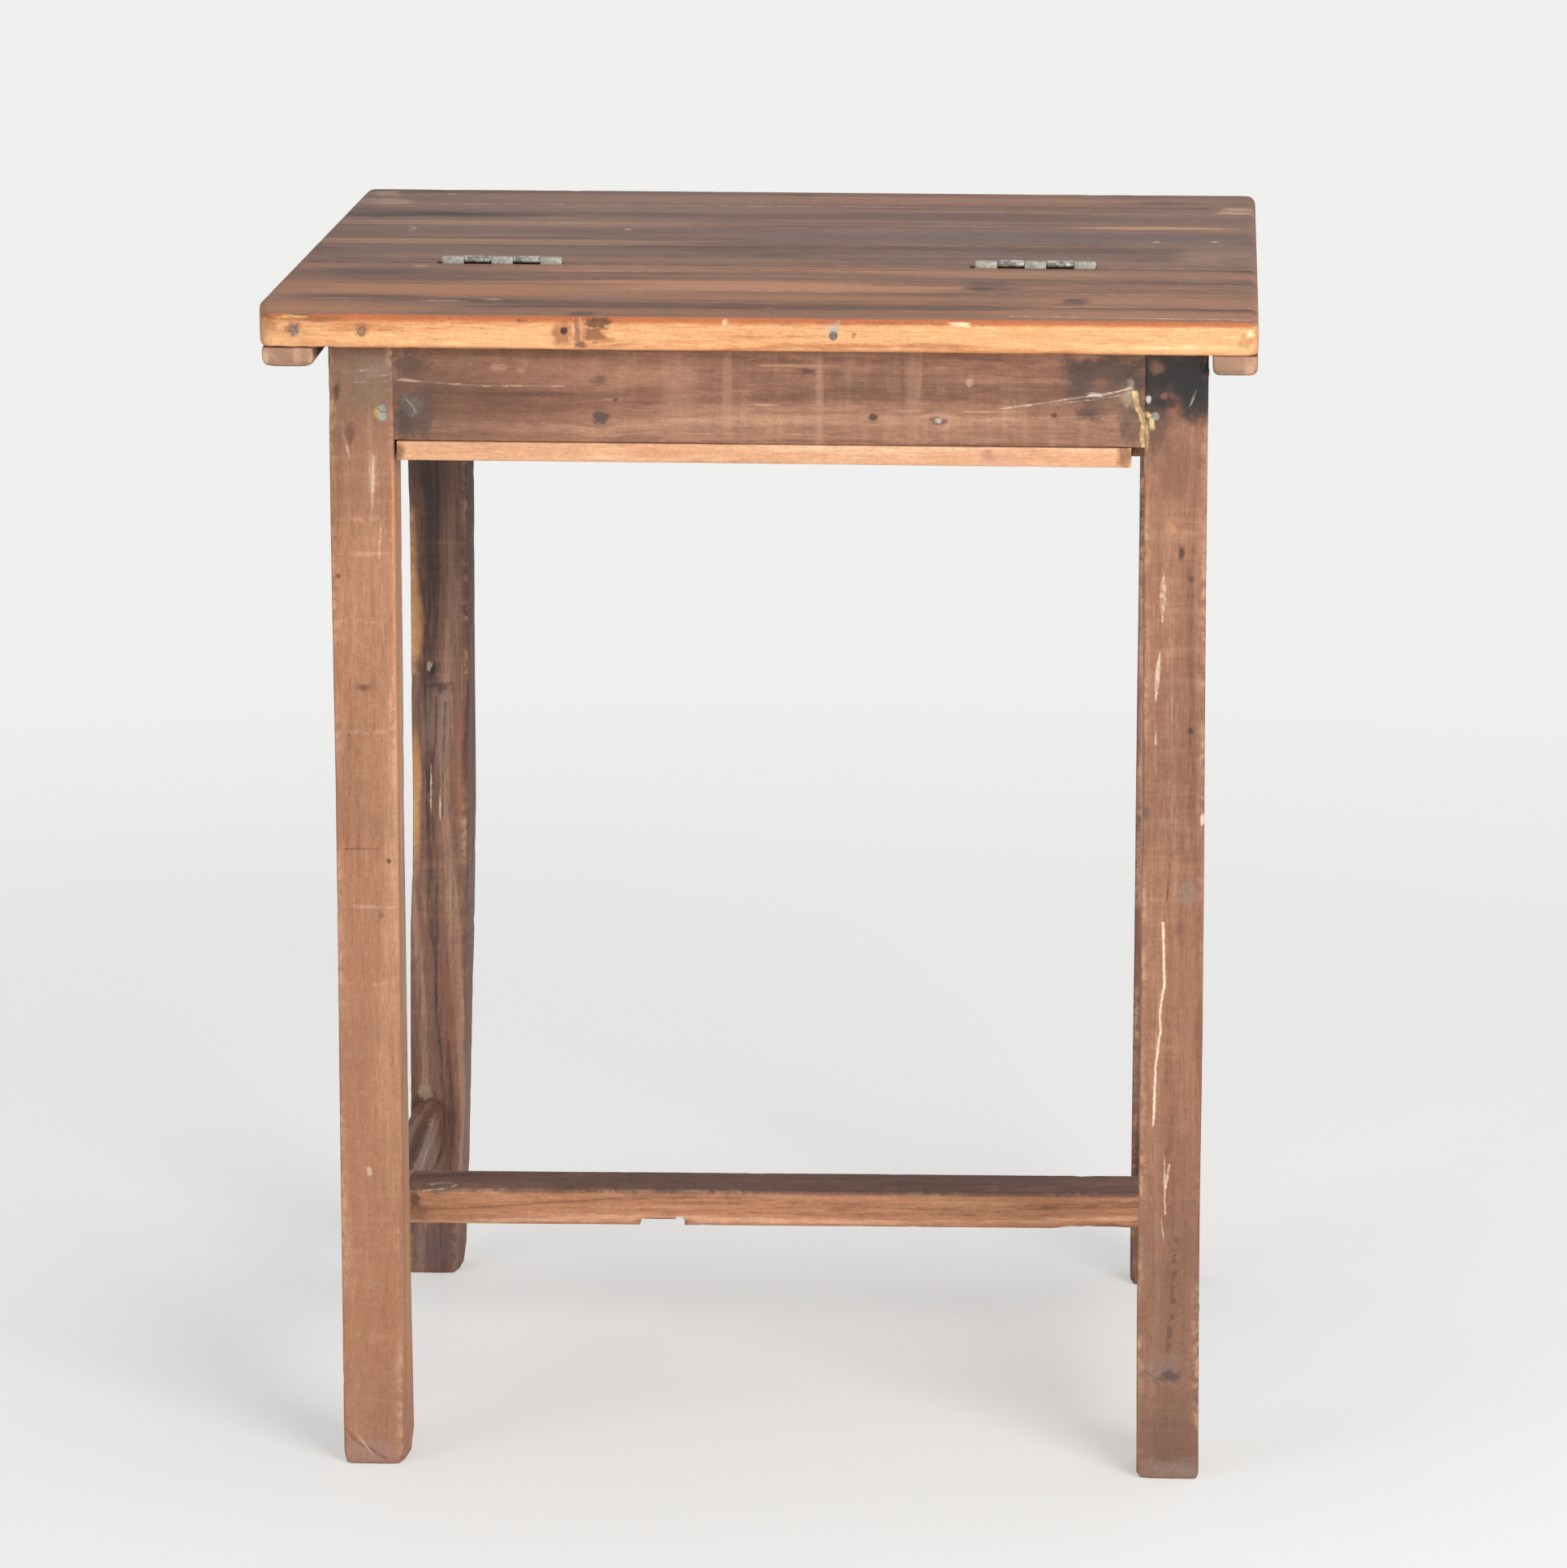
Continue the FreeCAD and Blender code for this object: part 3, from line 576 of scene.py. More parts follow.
def teak(name, grain, centre, seed, tones, skin=None, skin_from=None, pith=(0.0, 0.02, -0.06),
         ring_width=0.006, ring_share=0.45, marks=(), knots=(), saw=0.0, grime=0.3, scratches=0.2,
         worn=PALE_WEAR, worn_share=0.5, roughness=0.5, gloss=0.4, end_tint=END_GRAIN):
    """A teak material for one piece, with its own figure, marks and wear."""
    material, tree = new_material(name)
    here = add(tree, "ShaderNodeTexCoord", {}).outputs["Object"]
    place = figure_place(tree, here, centre, grain, knots)
    figure = use_group(tree, FIGURE, {
        "Place": place, "Pith": pith, "Ring width": ring_width, "Seed": seed, "Ring share": ring_share,
    })
    base = in_tones(tree, figure, tones)
    if skin is not None:
        upper = in_tones(tree, figure, skin)
        base = mixed(tree, skin_share(tree, here, skin_from), base, upper)

    sawn = use_group(tree, SAW, {"Place": place, "Seed": seed})
    base = tinted(tree, base, sawn["Pale"], saw, PALE_WEAR)
    dirt = use_group(tree, GRIME, {"Place": place, "Seed": seed + 3.0})["Mask"]
    base = tinted(tree, base, dirt, grime, DIRT)
    lines = use_group(tree, SCRATCHES, {"Place": place, "Seed": seed})["Mask"]
    base = tinted(tree, base, lines, scratches, PALE_WEAR)

    grit = clouds(tree, here, (700.0, 700.0, 700.0), 3.0, 0.7)
    base = marked(tree, here, base, marks)
    mottle = clouds(tree, here, (380.0, 190.0, 380.0), 2.0, 0.7, seed)
    grit = plus(tree, times(tree, grit, 0.5), times(tree, mottle, 0.36))
    base = mixed(tree, 1.0, base, plus(tree, grit, 0.57), "MULTIPLY")
    ends = kept_value(tree, "end")
    base = mixed(tree, times(tree, ends, 0.7), base, mixed(tree, 0.5, base, colour(*end_tint)))
    base = tinted(tree, base, rubbed(tree, here), worn_share, worn)

    bump = relief(tree, figure, sawn, saw, lines)
    dull = plus(tree, times(tree, figure["Tone"], 0.2), roughness - 0.1)
    dull = calc(tree, "ADD", dull, times(tree, dirt, 0.12), clamp=True)
    give_surface(tree, add(tree, "ShaderNodeBsdfPrincipled", {
        "Base Color": base, "Roughness": dull, "Normal": bump.outputs[0], "IOR": 1.45,
        "Specular IOR Level": gloss,
    }))
    return material


# Metals

def metal(name, base, worn, rust, rust_from, metallic, roughness, shade_and_dirt_below=None):
    """Old metal: a base colour, rubbed bright places, rust, and, where given, painted shade with dirt that
    thins out upwards.
    """
    material, tree = new_material(name)
    here = add(tree, "ShaderNodeTexCoord", {}).outputs["Object"]
    patches = clouds(tree, here, (260.0, 260.0, 260.0), 4.0, 0.65)
    specks = clouds(tree, here, (1400.0, 1400.0, 1400.0), 3.0, 0.6)
    tint = mixed(tree, fade(tree, patches, 0.40, 0.62), colour(*base), colour(*worn))
    rusted = fade(tree, plus(tree, times(tree, patches, 0.4), times(tree, specks, 0.6)), *rust_from)
    tint = mixed(tree, rusted, tint, colour(*rust))
    if shade_and_dirt_below is not None:
        # Painted shade with dirt: darker towards the bottom.
        height = add(tree, "ShaderNodeSeparateXYZ", {0: here}).outputs[2]
        tint = mixed(tree, fade(tree, height, *shade_and_dirt_below), colour(*METAL_SHADE_AND_DIRT), tint)
    shine = times(tree, minus(tree, 1.0, rusted), metallic)
    dull = plus(tree, times(tree, rusted, 0.3), roughness)
    dull = calc(tree, "ADD", dull, times(tree, specks, 0.2), clamp=True)
    bump = add(tree, "ShaderNodeBump", {"Strength": 0.5, "Distance": 0.0002, "Height": specks})
    give_surface(tree, add(tree, "ShaderNodeBsdfPrincipled", {
        "Base Color": tint, "Roughness": dull, "Metallic": shine, "Normal": bump.outputs[0],
    }))
    return material


# The lid leaf's knuckles are painted dark below the pin's middle: painted shade of their under side and of
# the slot in front of them, with some dirt. The dark is full up to the first depth below the pin's middle
# and thins out to the second.
HINGE_AXIS_Z = sum(box_corner[2] for box_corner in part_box("hinge_left_pin")) / 2
HINGE_SHADE_AND_DIRT = (HINGE_AXIS_Z - 0.0018, HINGE_AXIS_Z - 0.0002)

HINGE_STEEL = metal("hinge steel", (150, 148, 139), (182, 180, 170), (110, 84, 66), (0.55, 0.66),
                    metallic=0.5, roughness=0.45)
KNUCKLE_STEEL = metal("rolled knuckle steel", (120, 118, 112), (196, 194, 186), (96, 74, 60),
                      (0.52, 0.64), metallic=0.6, roughness=0.4, shade_and_dirt_below=HINGE_SHADE_AND_DIRT)
SCREW_STEEL = metal("screw steel", (140, 138, 132), (190, 188, 182), (96, 66, 46), (0.50, 0.62),
                    metallic=0.8, roughness=0.38)
NAIL_IRON = metal("nail iron", (118, 104, 96), (156, 148, 140), (96, 66, 52), (0.42, 0.60),
                  metallic=0.3, roughness=0.65)
ZINC_NAIL = metal("weathered zinc nail", (118, 120, 114), (160, 164, 158), (116, 98, 80),
                  (0.48, 0.62), metallic=0.2, roughness=0.6)

# Timber

ARC_STEPS = 4
END_STEPS = 6
SECTION_CORNERS = ((0, 0), (1, 0), (1, 1), (0, 1))
NEAR_ARRIS = (0.0012, 0.0035)
ARRIS_WEAR = 0.002
END_WEAR = 0.004
END_BAND = 0.0015
WIDEST_ROUND = 0.48

# How fast the surface wanders, along the grain and across it: broad waves, nicks and patches.
WAVES = (9, 22)
NICKS = (95, 120)
PATCHES = (17, 30)


def inset(radius, distance):
    """How far a rounded edge has drawn in, at a distance from where it ends."""
    if radius <= 0 or distance >= radius:
        return 0.0
    return radius - math.sqrt(max(radius * radius - (radius - distance) ** 2, 0.0))


def side_shares(length, spacing):
    """Where the points of a flat side lie, closer together near its arrises."""
    if length < 4 * NEAR_ARRIS[1]:
        return [0.25, 0.5, 0.75]
    start = NEAR_ARRIS[1]
    count = max(1, round((length - 2 * start) / spacing))
    middle = [start + (length - 2 * start) * n / count for n in range(count + 1)]
    places = [NEAR_ARRIS[0]] + middle + [length - NEAR_ARRIS[0]]
    return [place / length for place in places]


def corner_centre(sides, radii, number):
    """The middle of the rounded corner of a section, and which of its two sides are the high ones."""
    high_a, high_b = SECTION_CORNERS[number]
    centre_a = sides[high_a] + (-radii[number] if high_a else radii[number])
    centre_b = sides[2 + high_b] + (-radii[number] if high_b else radii[number])
    return centre_a, centre_b, high_a, high_b


def section(sides, radii, shares, spans):
    """The outline of a stick's section: points, their outward directions and how exposed they are."""
    points = []
    for number, radius in enumerate(radii):
        centre_a, centre_b, high_a, high_b = corner_centre(sides, radii, number)
        for step in range(ARC_STEPS + 1):
            turn = math.radians(180 + 90 * number + 90 * step / ARC_STEPS)
            out_a, out_b = math.cos(turn), math.sin(turn)
            points.append((centre_a + radius * out_a, centre_b + radius * out_b, out_a, out_b, 1.0))
        next_a, next_b = corner_centre(sides, radii, (number + 1) % 4)[:2]
        first = Vector(points[-1][:2])
        if number % 2 == 0:
            last, out = Vector((next_a, first.y)), (0.0, 1.0 if high_b else -1.0)
        else:
            last, out = Vector((first.x, next_b)), (1.0 if high_a else -1.0, 0.0)
        for share in shares[number % 2]:
            point = first.lerp(last, share)
            exposed = math.exp(-min(share, 1 - share) * spans[number % 2] / ARRIS_WEAR)
            points.append((point.x, point.y, *out, exposed))
    return points


def between(table, place):
    """The value at a place, read between the two nearest rows of a table of places and values."""
    if place <= table[0][0]:
        return table[0][1]
    for (low, value), (high, following) in zip(table, table[1:]):
        if place <= high:
            return value + (following - value) * (place - low) / (high - low)
    return table[-1][1]


def stations(start, end, reach, spacing):
    """Where the rings of a stick lie along its grain, closest together at its ends."""
    stops = [reach * (1 - math.cos(math.pi / 2 * step / END_STEPS)) for step in range(END_STEPS + 1)]
    count = max(2, round((end - start - 2 * reach) / spacing))
    middle = [start + reach + (end - start - 2 * reach) * n / count for n in range(1, count)]
    return [start + stop for stop in stops] + middle + [end - stop for stop in reversed(stops)]


def wander(g, a, b, pace, drift):
    """Noise at a place in the wood, with one pace along the grain and one across it."""
    along, across = pace
    return noise.noise(Vector((g * along, a * across, b * across)) + drift)


def press(point, dents, outwards, quick):
    """Presses a point inwards where dents reach it; outwards are its way out along two axes."""
    for centre, reach, depth in dents:
        away = (point - centre).length / reach
        if away < 1:
            push = depth * (1 - away * away) ** 2 * (0.8 + 0.5 * quick)
            for axis, out in outwards:
                point[axis] -= out * push


def band(first, second):
    """The faces between two rings of points."""
    faces = []
    for n in range(len(first)):
        following = (n + 1) % len(first)
        faces.append((first[n], first[following], second[following], second[n]))
    return faces


def closed_end(ring, vertices):
    """Adds a smaller ring inside the last one of a stick, and closes both with faces."""
    middle = sum((vertices[n] for n in ring), Vector()) / len(ring)
    inner = []
    for n in ring:
        inwards = middle - vertices[n]
        inner.append(len(vertices))
        vertices.append(vertices[n] + inwards * min(0.5, END_BAND / max(inwards.length, SAME_POINT)))
    return band(ring, inner) + [tuple(inner)]


def timber(name, low, high, grain, seed, arrises, low_end, high_end, spacing=0.0065,
           wobble=0.0004, nick=0.0009, dents=(), reshape=None):
    """A worn stick or board between two corners.

    arrises are the radii of the four long edges, low_end and high_end how far each of the four
    faces rounds over at the ends. The wear moves everything inwards only. reshape moves the
    points of the straight stick to where the crooked one has them.
    """
    axis_g, axis_a, axis_b = GRAIN_ORDER[grain]
    start, end = low[axis_g], high[axis_g]
    sides = (low[axis_a], high[axis_a], low[axis_b], high[axis_b])
    spans = (sides[1] - sides[0], sides[3] - sides[2])
    shares = [side_shares(span - 2 * max(arrises), spacing) for span in spans]
    reach = max(max(low_end), max(high_end), END_BAND)
    drift = Vector((seed * 3.1, seed * 1.7, seed * 2.3))

    vertices, wear, ends, rings = [], [], [], []
    for g in stations(start, end, reach, spacing):
        from_low, from_high = g - start, end - g
        drawn = [max(inset(low_end[n], from_low), inset(high_end[n], from_high)) for n in range(4)]
        now = (sides[0] + drawn[0], sides[1] - drawn[1], sides[2] + drawn[2], sides[3] - drawn[3])
        limit = WIDEST_ROUND * min(now[1] - now[0], now[3] - now[2])
        radii = [min(radius, limit) for radius in arrises]
        exposed_end = max(0.0, 1 - min(from_low, from_high) / END_WEAR)
        first = len(vertices)
        for a, b, out_a, out_b, exposed in section(now, radii, shares, spans):
            quick = wander(g, a, b, NICKS, drift)
            edge = max(exposed, exposed_end)
            edge *= min(1.0, max(0.0, 0.35 + 2.2 * wander(g, a, b, PATCHES, -drift)))
            depth = wobble * (0.5 + 0.5 * wander(g, a, b, WAVES, drift))
            depth += nick * edge * max(0.0, quick - 0.05)
            point = Vector()
            point[axis_g], point[axis_a], point[axis_b] = g, a - out_a * depth, b - out_b * depth
            press(point, dents, ((axis_a, out_a), (axis_b, out_b)), quick)
            vertices.append(reshape(point) if reshape else point)
            wear.append(exposed)
            ends.append(exposed_end)
        rings.append(range(first, len(vertices)))

    polygons = [face for first, second in zip(rings, rings[1:]) for face in band(first, second)]
    for ring in (rings[0], rings[-1]):
        polygons += closed_end(ring, vertices)
        wear += [0.0] * len(ring)
        ends += [1.0] * len(ring)
    return finished_mesh(name, vertices, polygons, wear, ends)


def finished_mesh(name, vertices, polygons, wear=None, ends=None, smooth=True):
    """A mesh object with outward faces and the wear kept on its points."""
    mesh = bpy.data.meshes.new(name)
    mesh.from_pydata([tuple(v) for v in vertices], [], polygons)
    for label, values in (("wear", wear), ("end", ends)):
        layer = mesh.attributes.new(label, "FLOAT", "POINT")
        layer.data.foreach_set("value", values if values is not None else [0.0] * len(vertices))
    shaper = bmesh.new()
    shaper.from_mesh(mesh)
    bmesh.ops.recalc_face_normals(shaper, faces=shaper.faces)
    shaper.to_mesh(mesh)
    shaper.free()
    mesh.polygons.foreach_set("use_smooth", [smooth] * len(mesh.polygons))
    piece = bpy.data.objects.new(name, mesh)
    bpy.context.collection.objects.link(piece)
    return piece


def box_faces():
    """The six sides of a box, by the numbers of its corners."""
    return [(0, 1, 3, 2), (4, 6, 7, 5), (0, 4, 5, 1), (2, 3, 7, 6), (0, 2, 6, 4), (1, 5, 7, 3)]


def prism_faces(first, count):
    """The sides and the two ends between two like outlines, one numbered after the other."""
    near, far = range(first, first + count), range(first + count, first + 2 * count)
    return band(near, far) + [tuple(near), tuple(reversed(far))]


def box_corners(low, high):
    """The eight corners of a box."""
    return [Vector((x, y, z)) for x in (low[0], high[0]) for y in (low[1], high[1])
            for z in (low[2], high[2])]


CUT_SHARP = math.radians(38)


def cut_away(piece, boxes):
    """Cuts box-shaped rooms from a piece, such as the seat of a hinge."""
    for low, high in boxes:
        cutter = finished_mesh("cutter", box_corners(low, high), box_faces(), smooth=False)
        step = piece.modifiers.new("cut", "BOOLEAN")
        step.operation = "DIFFERENCE"
        step.solver = "EXACT"
        step.object = cutter
        apply_modifiers(piece)
        bpy.data.objects.remove(cutter)
    piece.data.set_sharp_from_angle(angle=CUT_SHARP)


def apply_modifiers(piece):
    """Bakes a piece's modifiers into its mesh."""
    graph = bpy.context.evaluated_depsgraph_get()
    mesh = bpy.data.meshes.new_from_object(piece.evaluated_get(graph))
    piece.modifiers.clear()
    old = piece.data
    piece.data = mesh
    bpy.data.meshes.remove(old)


def dress(piece, body, slot, material, *nodes):
    """Gives a piece its material and its body, and hides the nodes that it stands for; the slot is not
    used.
    """
    piece.data.materials.clear()
    piece.data.materials.append(material)
    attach(piece, body)
    if nodes:
        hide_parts(*nodes)


def corners_of(node):
    """The low and the high corner of a node's solid."""
    low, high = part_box(node)
    return Vector(low), Vector(high)


def middle_of(low, high):
    """Half way between two corners."""
    return (Vector(low) + Vector(high)) / 2


# Top boards

BOARD_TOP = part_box("fixed_top_board_1")[1][2]

# How far under the upper face the darker skin of a board starts, and where it is full.
SKIN_DEEP = 0.0042
SKIN_FULL = 0.0012

# The boards that carry the hinges, and the way along Y from the hinge's pin to the board.
BOARDS_AT_SEAM = {"fixed_top_board_2": -1, "lid_board_1": 1}

OUTER_ROUND = 0.005
LOWER_ROUND = 0.0028
PLAN_CORNER = 0.010
JOINT_ROUND = 0.0007
CORNER_BLEND = 0.0009

TOP_MARKS = {
    "fixed_top_edge_strip": [
        top_spot(10, -255, (190, 20, 6), (150, 100, 72), 0.6, 1.0),
        top_spot(240, -249, (150, 20, 6), (174, 120, 88), 0.8, 1.0),
        top_spot(-280, -250, (110, 34, 5), (176, 120, 82), 0.6, 1.0),
        top_spot(-118, -226, (110, 9, 8), (106, 78, 64), 0.85, 1.1),
        top_spot(40, -229, (190, 12, 8), (112, 80, 64), 0.85, 1.1),
        top_spot(-106, -268, (14, 14, 6), (96, 70, 56), 0.8, 1.6),
        top_spot(-20, -240, (40, 3, 5), (92, 68, 56), 0.6, 1.6, 0.6),
        top_streak([(158, -260), (232, -264), (305, -268)], 1.5, (232, 196, 164), 0.85, 0.7),
        top_streak([(-6, -238), (14, -239)], 1.6, (214, 176, 144), 0.6, 0.8),
        top_streak([(90, -246), (104, -246)], 1.6, (214, 176, 144), 0.6, 0.8),
        spot((3, -279.5, 750.2), (1400, 8, 5.4), RED_WEAR, 0.85, 0.5, 0.6),
        edge_spot(-108, 740, (26, 8, 12), (176, 112, 70), 0.6, 1.6, 0.8),
        edge_spot(-118, 739, (8, 8, 9), (146, 92, 66), 0.75, 2.0, 0.6),
        edge_spot(-95, 747, (11, 7, 5), (84, 58, 44), 0.85, 2.2, 0.4),
        edge_spot(-98, 739.2, (8, 7, 6), (112, 72, 48), 0.75, 2.2, 0.5),
        edge_spot(-106, 732.5, (5, 6, 3), (84, 58, 46), 0.8, 1.8, 0.5),
        edge_spot(-90, 736, (7, 6, 3), (150, 96, 60), 0.6, 2.0, 0.6),
        edge_spot(-116.3, 741, (3.0, 5, 3.0), (42, 36, 44), 0.95, 0.9, 0.5),
        edge_spot(-108.5, 741, (3.2, 6, 12), (112, 82, 74), 0.6, 2.0, 0.6),
        edge_streak([(-110.8, 750), (-110.9, 731)], 1.0, (214, 186, 162), 0.5, 0.9),
        edge_streak([(-106.7, 751), (-105.9, 733)], 1.3, (206, 172, 148), 0.45, 0.9),
        edge_streak([(-103, 747), (-102, 731)], 0.7, (190, 152, 130), 0.5, 0.7),
        edge_streak([(-146, 747.3), (-138.9, 747.6)], 1.2, (110, 68, 48), 0.7, 0.4),
        edge_streak([(53.6, 748.5), (47.5, 738.5)], 3.0, (166, 158, 146), 0.8, 0.5),
        edge_spot(49, 743, (6, 4, 5), (160, 156, 146), 0.6, 1.8, 0.8),
        edge_streak([(20, 747.4), (64, 747.6), (118, 747.0)], 0.7, (140, 92, 60), 0.5, 0.9),
        edge_spot(62, 740, (2, 4, 2.6), (150, 98, 66), 0.7, 1.8, 0.5),
        edge_spot(127, 747.5, (9, 4, 2.2), (248, 218, 172), 0.8, 2.4, 0.4),
        edge_spot(-17, 747.5, (2.4, 4, 2.8), (244, 208, 168), 0.6, 2.6, 0.5),
        edge_spot(-284, 741, (6.5, 4, 6.5), (122, 82, 64), 0.8, 1.4),
        edge_spot(-241.7, 741, (6, 4, 6), (126, 84, 64), 0.75, 1.4),
        edge_spot(-285, 749, (12, 5, 2.4), (232, 184, 96), 0.8, 1.5, 0.3),
        edge_spot(-267, 747, (22, 5, 2.6), (128, 88, 52), 0.6, 1.6, 0.5),
        edge_spot(-299, 744, (6, 6, 6), (150, 100, 60), 0.55, 1.5, 0.6),
        edge_spot(-302, 733, (4, 6, 4), (222, 170, 116), 0.7, 1.5, 0.5),
        edge_spot(303, 738, (7, 5, 6), (176, 128, 78), 0.7, 1.3, 0.6),
        edge_spot(307, 743, (5, 5, 4), (246, 222, 178), 0.7, 1.3, 0.6),
        # Painted shade along the strip's lower, rounded arris.
        edge_spot(-187, 729, (120, 6, 3), (150, 96, 58), 0.5, 1.2, 0.8),
        edge_spot(123, 729, (190, 6, 2.6), (150, 96, 58), 0.5, 1.2, 0.8),
    ],
    "fixed_top_board_1": [
        top_spot(-170, -172, (220, 36, 8), (178, 122, 88), 0.85, 1.0),
        top_spot(30, -152, (180, 24, 8), (192, 134, 100), 0.9, 1.0),
        top_spot(20, -196, (190, 16, 8), (168, 116, 84), 0.8, 1.0),
        top_spot(240, -196, (100, 26, 8), (170, 118, 90), 0.75, 1.0),
        top_spot(-60, -180, (150, 3, 5), (138, 98, 76), 0.6, 1.2, 0.6),
        top_spot(-252, -204, (64, 10, 8), (104, 78, 66), 0.85, 1.3),
        top_spot(-180, -217, (100, 11, 8), (100, 76, 64), 0.9, 1.2),
        top_spot(-60, -222, (170, 8, 8), (112, 80, 64), 0.85, 1.1),
        top_spot(80, -222, (120, 6, 8), (118, 84, 66), 0.8, 1.1),
        top_streak([(-214, -218), (-181, -220.5)], 2.4, (196, 172, 148), 0.75, 0.3),
        top_streak([(-174, -212), (-160, -213)], 2.4, (196, 172, 150), 0.75, 0.3),
        top_streak([(-274, -212), (-240, -214)], 1.6, (186, 158, 132), 0.6, 0.7),
        top_spot(144, -150, (26, 20, 8), (108, 84, 74), 0.9, 1.5, 0.8),
        top_spot(137, -152, (13, 11, 8), (82, 66, 60), 0.8, 1.6, 0.8),
        top_spot(197, -199, (11, 18, 8), (96, 74, 66), 0.9, 1.4),
        top_spot(192, -212, (16, 6, 8), (118, 86, 70), 0.7, 1.4),
        top_streak([(181, -208), (190, -205)], 1.2, (206, 170, 142), 0.6, 0.5),
        top_streak([(-95, -164), (-20, -167), (60, -173)], 1.5, (214, 166, 132), 0.75, 0.8),
        top_streak([(165, -169), (305, -171)], 1.5, (206, 164, 136), 0.7, 0.8),
    ],
    "fixed_top_board_2": [
        top_spot(-225, -100, (120, 36, 8), (114, 90, 80), 0.65, 1.1),
        top_spot(-258, -102, (56, 20, 8), (98, 78, 72), 0.75, 1.3, 0.8),
        top_spot(-190, -130, (140, 9, 8), (112, 86, 74), 0.7, 1.2),
        top_spot(-40, -138, (170, 13, 8), (186, 130, 98), 0.85, 1.0, 0.6),
        top_spot(-60, -118, (170, 6, 6), (124, 94, 80), 0.6, 1.1),
        top_spot(-20, -72, (190, 9, 6), (166, 120, 94), 0.65, 1.1),
        top_spot(150, -92, (90, 24, 8), (170, 126, 102), 0.75, 1.1),
        top_spot(140, -114, (110, 8, 8), (112, 86, 76), 0.65, 1.2),
        top_spot(141, -132, (28, 16, 8), (108, 84, 76), 0.85, 1.5, 0.8),
        top_spot(272, -122, (90, 14, 8), (108, 82, 74), 0.85, 1.2),
        top_spot(245, -84, (70, 16, 8), (160, 118, 94), 0.6, 1.2),
        top_spot(0, -98, (130, 4, 6), (118, 88, 76), 0.5, 1.2),
        top_streak([(255, -113), (288, -114)], 1.5, (204, 170, 146), 0.65, 0.6),
        top_streak([(211, -63), (294, -63)], 1.6, (236, 182, 132), 0.85, 0.75),
        top_streak([(-60, -63), (112, -63)], 1.2, (206, 156, 118), 0.6, 0.9),
        top_streak([(-290, -63), (-222, -63)], 1.2, (196, 150, 118), 0.5, 0.9),
        top_spot(-227, -78, (6, 6, 4), PALE_WEAR, 0.4, 1.8, 0.5),
    ],
    "lid_board_1": [
        top_spot(2, -18, (30, 16, 8), (108, 84, 76), 0.75, 1.3, 0.9),
        top_spot(160, 16, (220, 9, 8), (108, 82, 72), 0.8, 1.1),
        top_spot(-190, 26, (190, 6, 6), (172, 130, 104), 0.8, 1.0, 0.6),
        top_spot(-210, 10, (150, 5, 6), (122, 94, 82), 0.55, 1.1),
        top_spot(-80, -42, (200, 16, 8), (156, 112, 88), 0.7, 1.1),
        top_spot(180, -38, (150, 14, 8), (156, 116, 92), 0.6, 1.1),
        top_spot(-220, -30, (110, 14, 8), (152, 118, 98), 0.6, 1.1),
        top_spot(120, -6, (160, 7, 8), (120, 92, 80), 0.55, 1.1),
        top_spot(284, -8, (40, 46, 8), (166, 128, 106), 0.6, 1.6, 0.8),
        top_streak([(211, -58), (294, -58)], 1.0, (210, 150, 104), 0.6, 0.8),
        top_streak([(262, -20), (286, -22)], 1.3, (200, 170, 148), 0.5, 0.6),
        top_streak([(-254, -44), (-238, -38)], 1.3, (196, 166, 142), 0.5, 0.6),
    ],
    "lid_board_2": [
        top_spot(170, 74, (260, 36, 8), (116, 96, 92), 0.75, 1.0),
        top_spot(-160, 80, (220, 26, 8), (126, 100, 90), 0.5, 1.0),
        top_spot(-200, 37, (210, 9, 6), (170, 128, 102), 0.85, 1.0, 0.6),
        top_spot(-60, 52, (200, 5, 6), (118, 94, 86), 0.5, 1.1),
        top_spot(-190, 111, (220, 6, 6), (168, 128, 106), 0.8, 1.0, 0.6),
        top_spot(60, 100, (200, 5, 6), (142, 112, 98), 0.5, 1.1),
        top_streak([(0, 31.5), (300, 31.5)], 1.2, (196, 154, 126), 0.6, 0.8),
        top_streak([(-253, 98), (-249, 88), (-252, 74)], 1.3, (204, 176, 154), 0.6, 0.5),
        top_spot(-107, 93, (3.5, 4, 3), (206, 170, 146), 0.8, 1.0, 0.5),
        top_spot(246, 55, (3.5, 4, 3), (206, 176, 156), 0.7, 1.0, 0.5),
        top_spot(284, 58, (4, 4, 3), (206, 176, 156), 0.7, 1.0, 0.5),
    ],
    "lid_board_3": [
        top_spot(150, 160, (220, 30, 8), (120, 94, 84), 0.6, 1.0),
        top_spot(-120, 182, (240, 12, 8), (140, 112, 96), 0.5, 1.0),
        top_spot(-235, 155, (110, 20, 8), (92, 74, 68), 0.9, 1.2),
        top_spot(-235, 156, (44, 9, 8), (66, 54, 54), 0.85, 1.3),
        top_spot(-280, 148, (40, 8, 8), (78, 62, 58), 0.7, 1.3),
        top_spot(-190, 121, (200, 8, 6), (166, 126, 104), 0.85, 1.0, 0.6),
        top_spot(245, 118, (76, 8, 6), (196, 148, 116), 0.9, 1.1, 0.6),
        top_spot(60, 123, (150, 6, 6), (150, 116, 96), 0.55, 1.1),
        top_spot(110, 186, (200, 5, 6), (152, 118, 100), 0.5, 1.1),
        top_streak([(-186, 118), (-126, 118)], 1.4, (206, 178, 154), 0.6, 0.6),
        top_streak([(70, 117), (166, 117)], 1.4, (206, 178, 154), 0.6, 0.8),
        top_streak([(268, 153), (276, 149)], 1.6, (210, 184, 164), 0.6, 0.4),
        top_spot(298, 192, (18, 10, 5), (204, 164, 134), 0.75, 1.6, 0.6),
    ],
    "lid_board_4": [
        top_spot(100, 236, (260, 36, 8), (168, 124, 100), 0.75, 1.0),
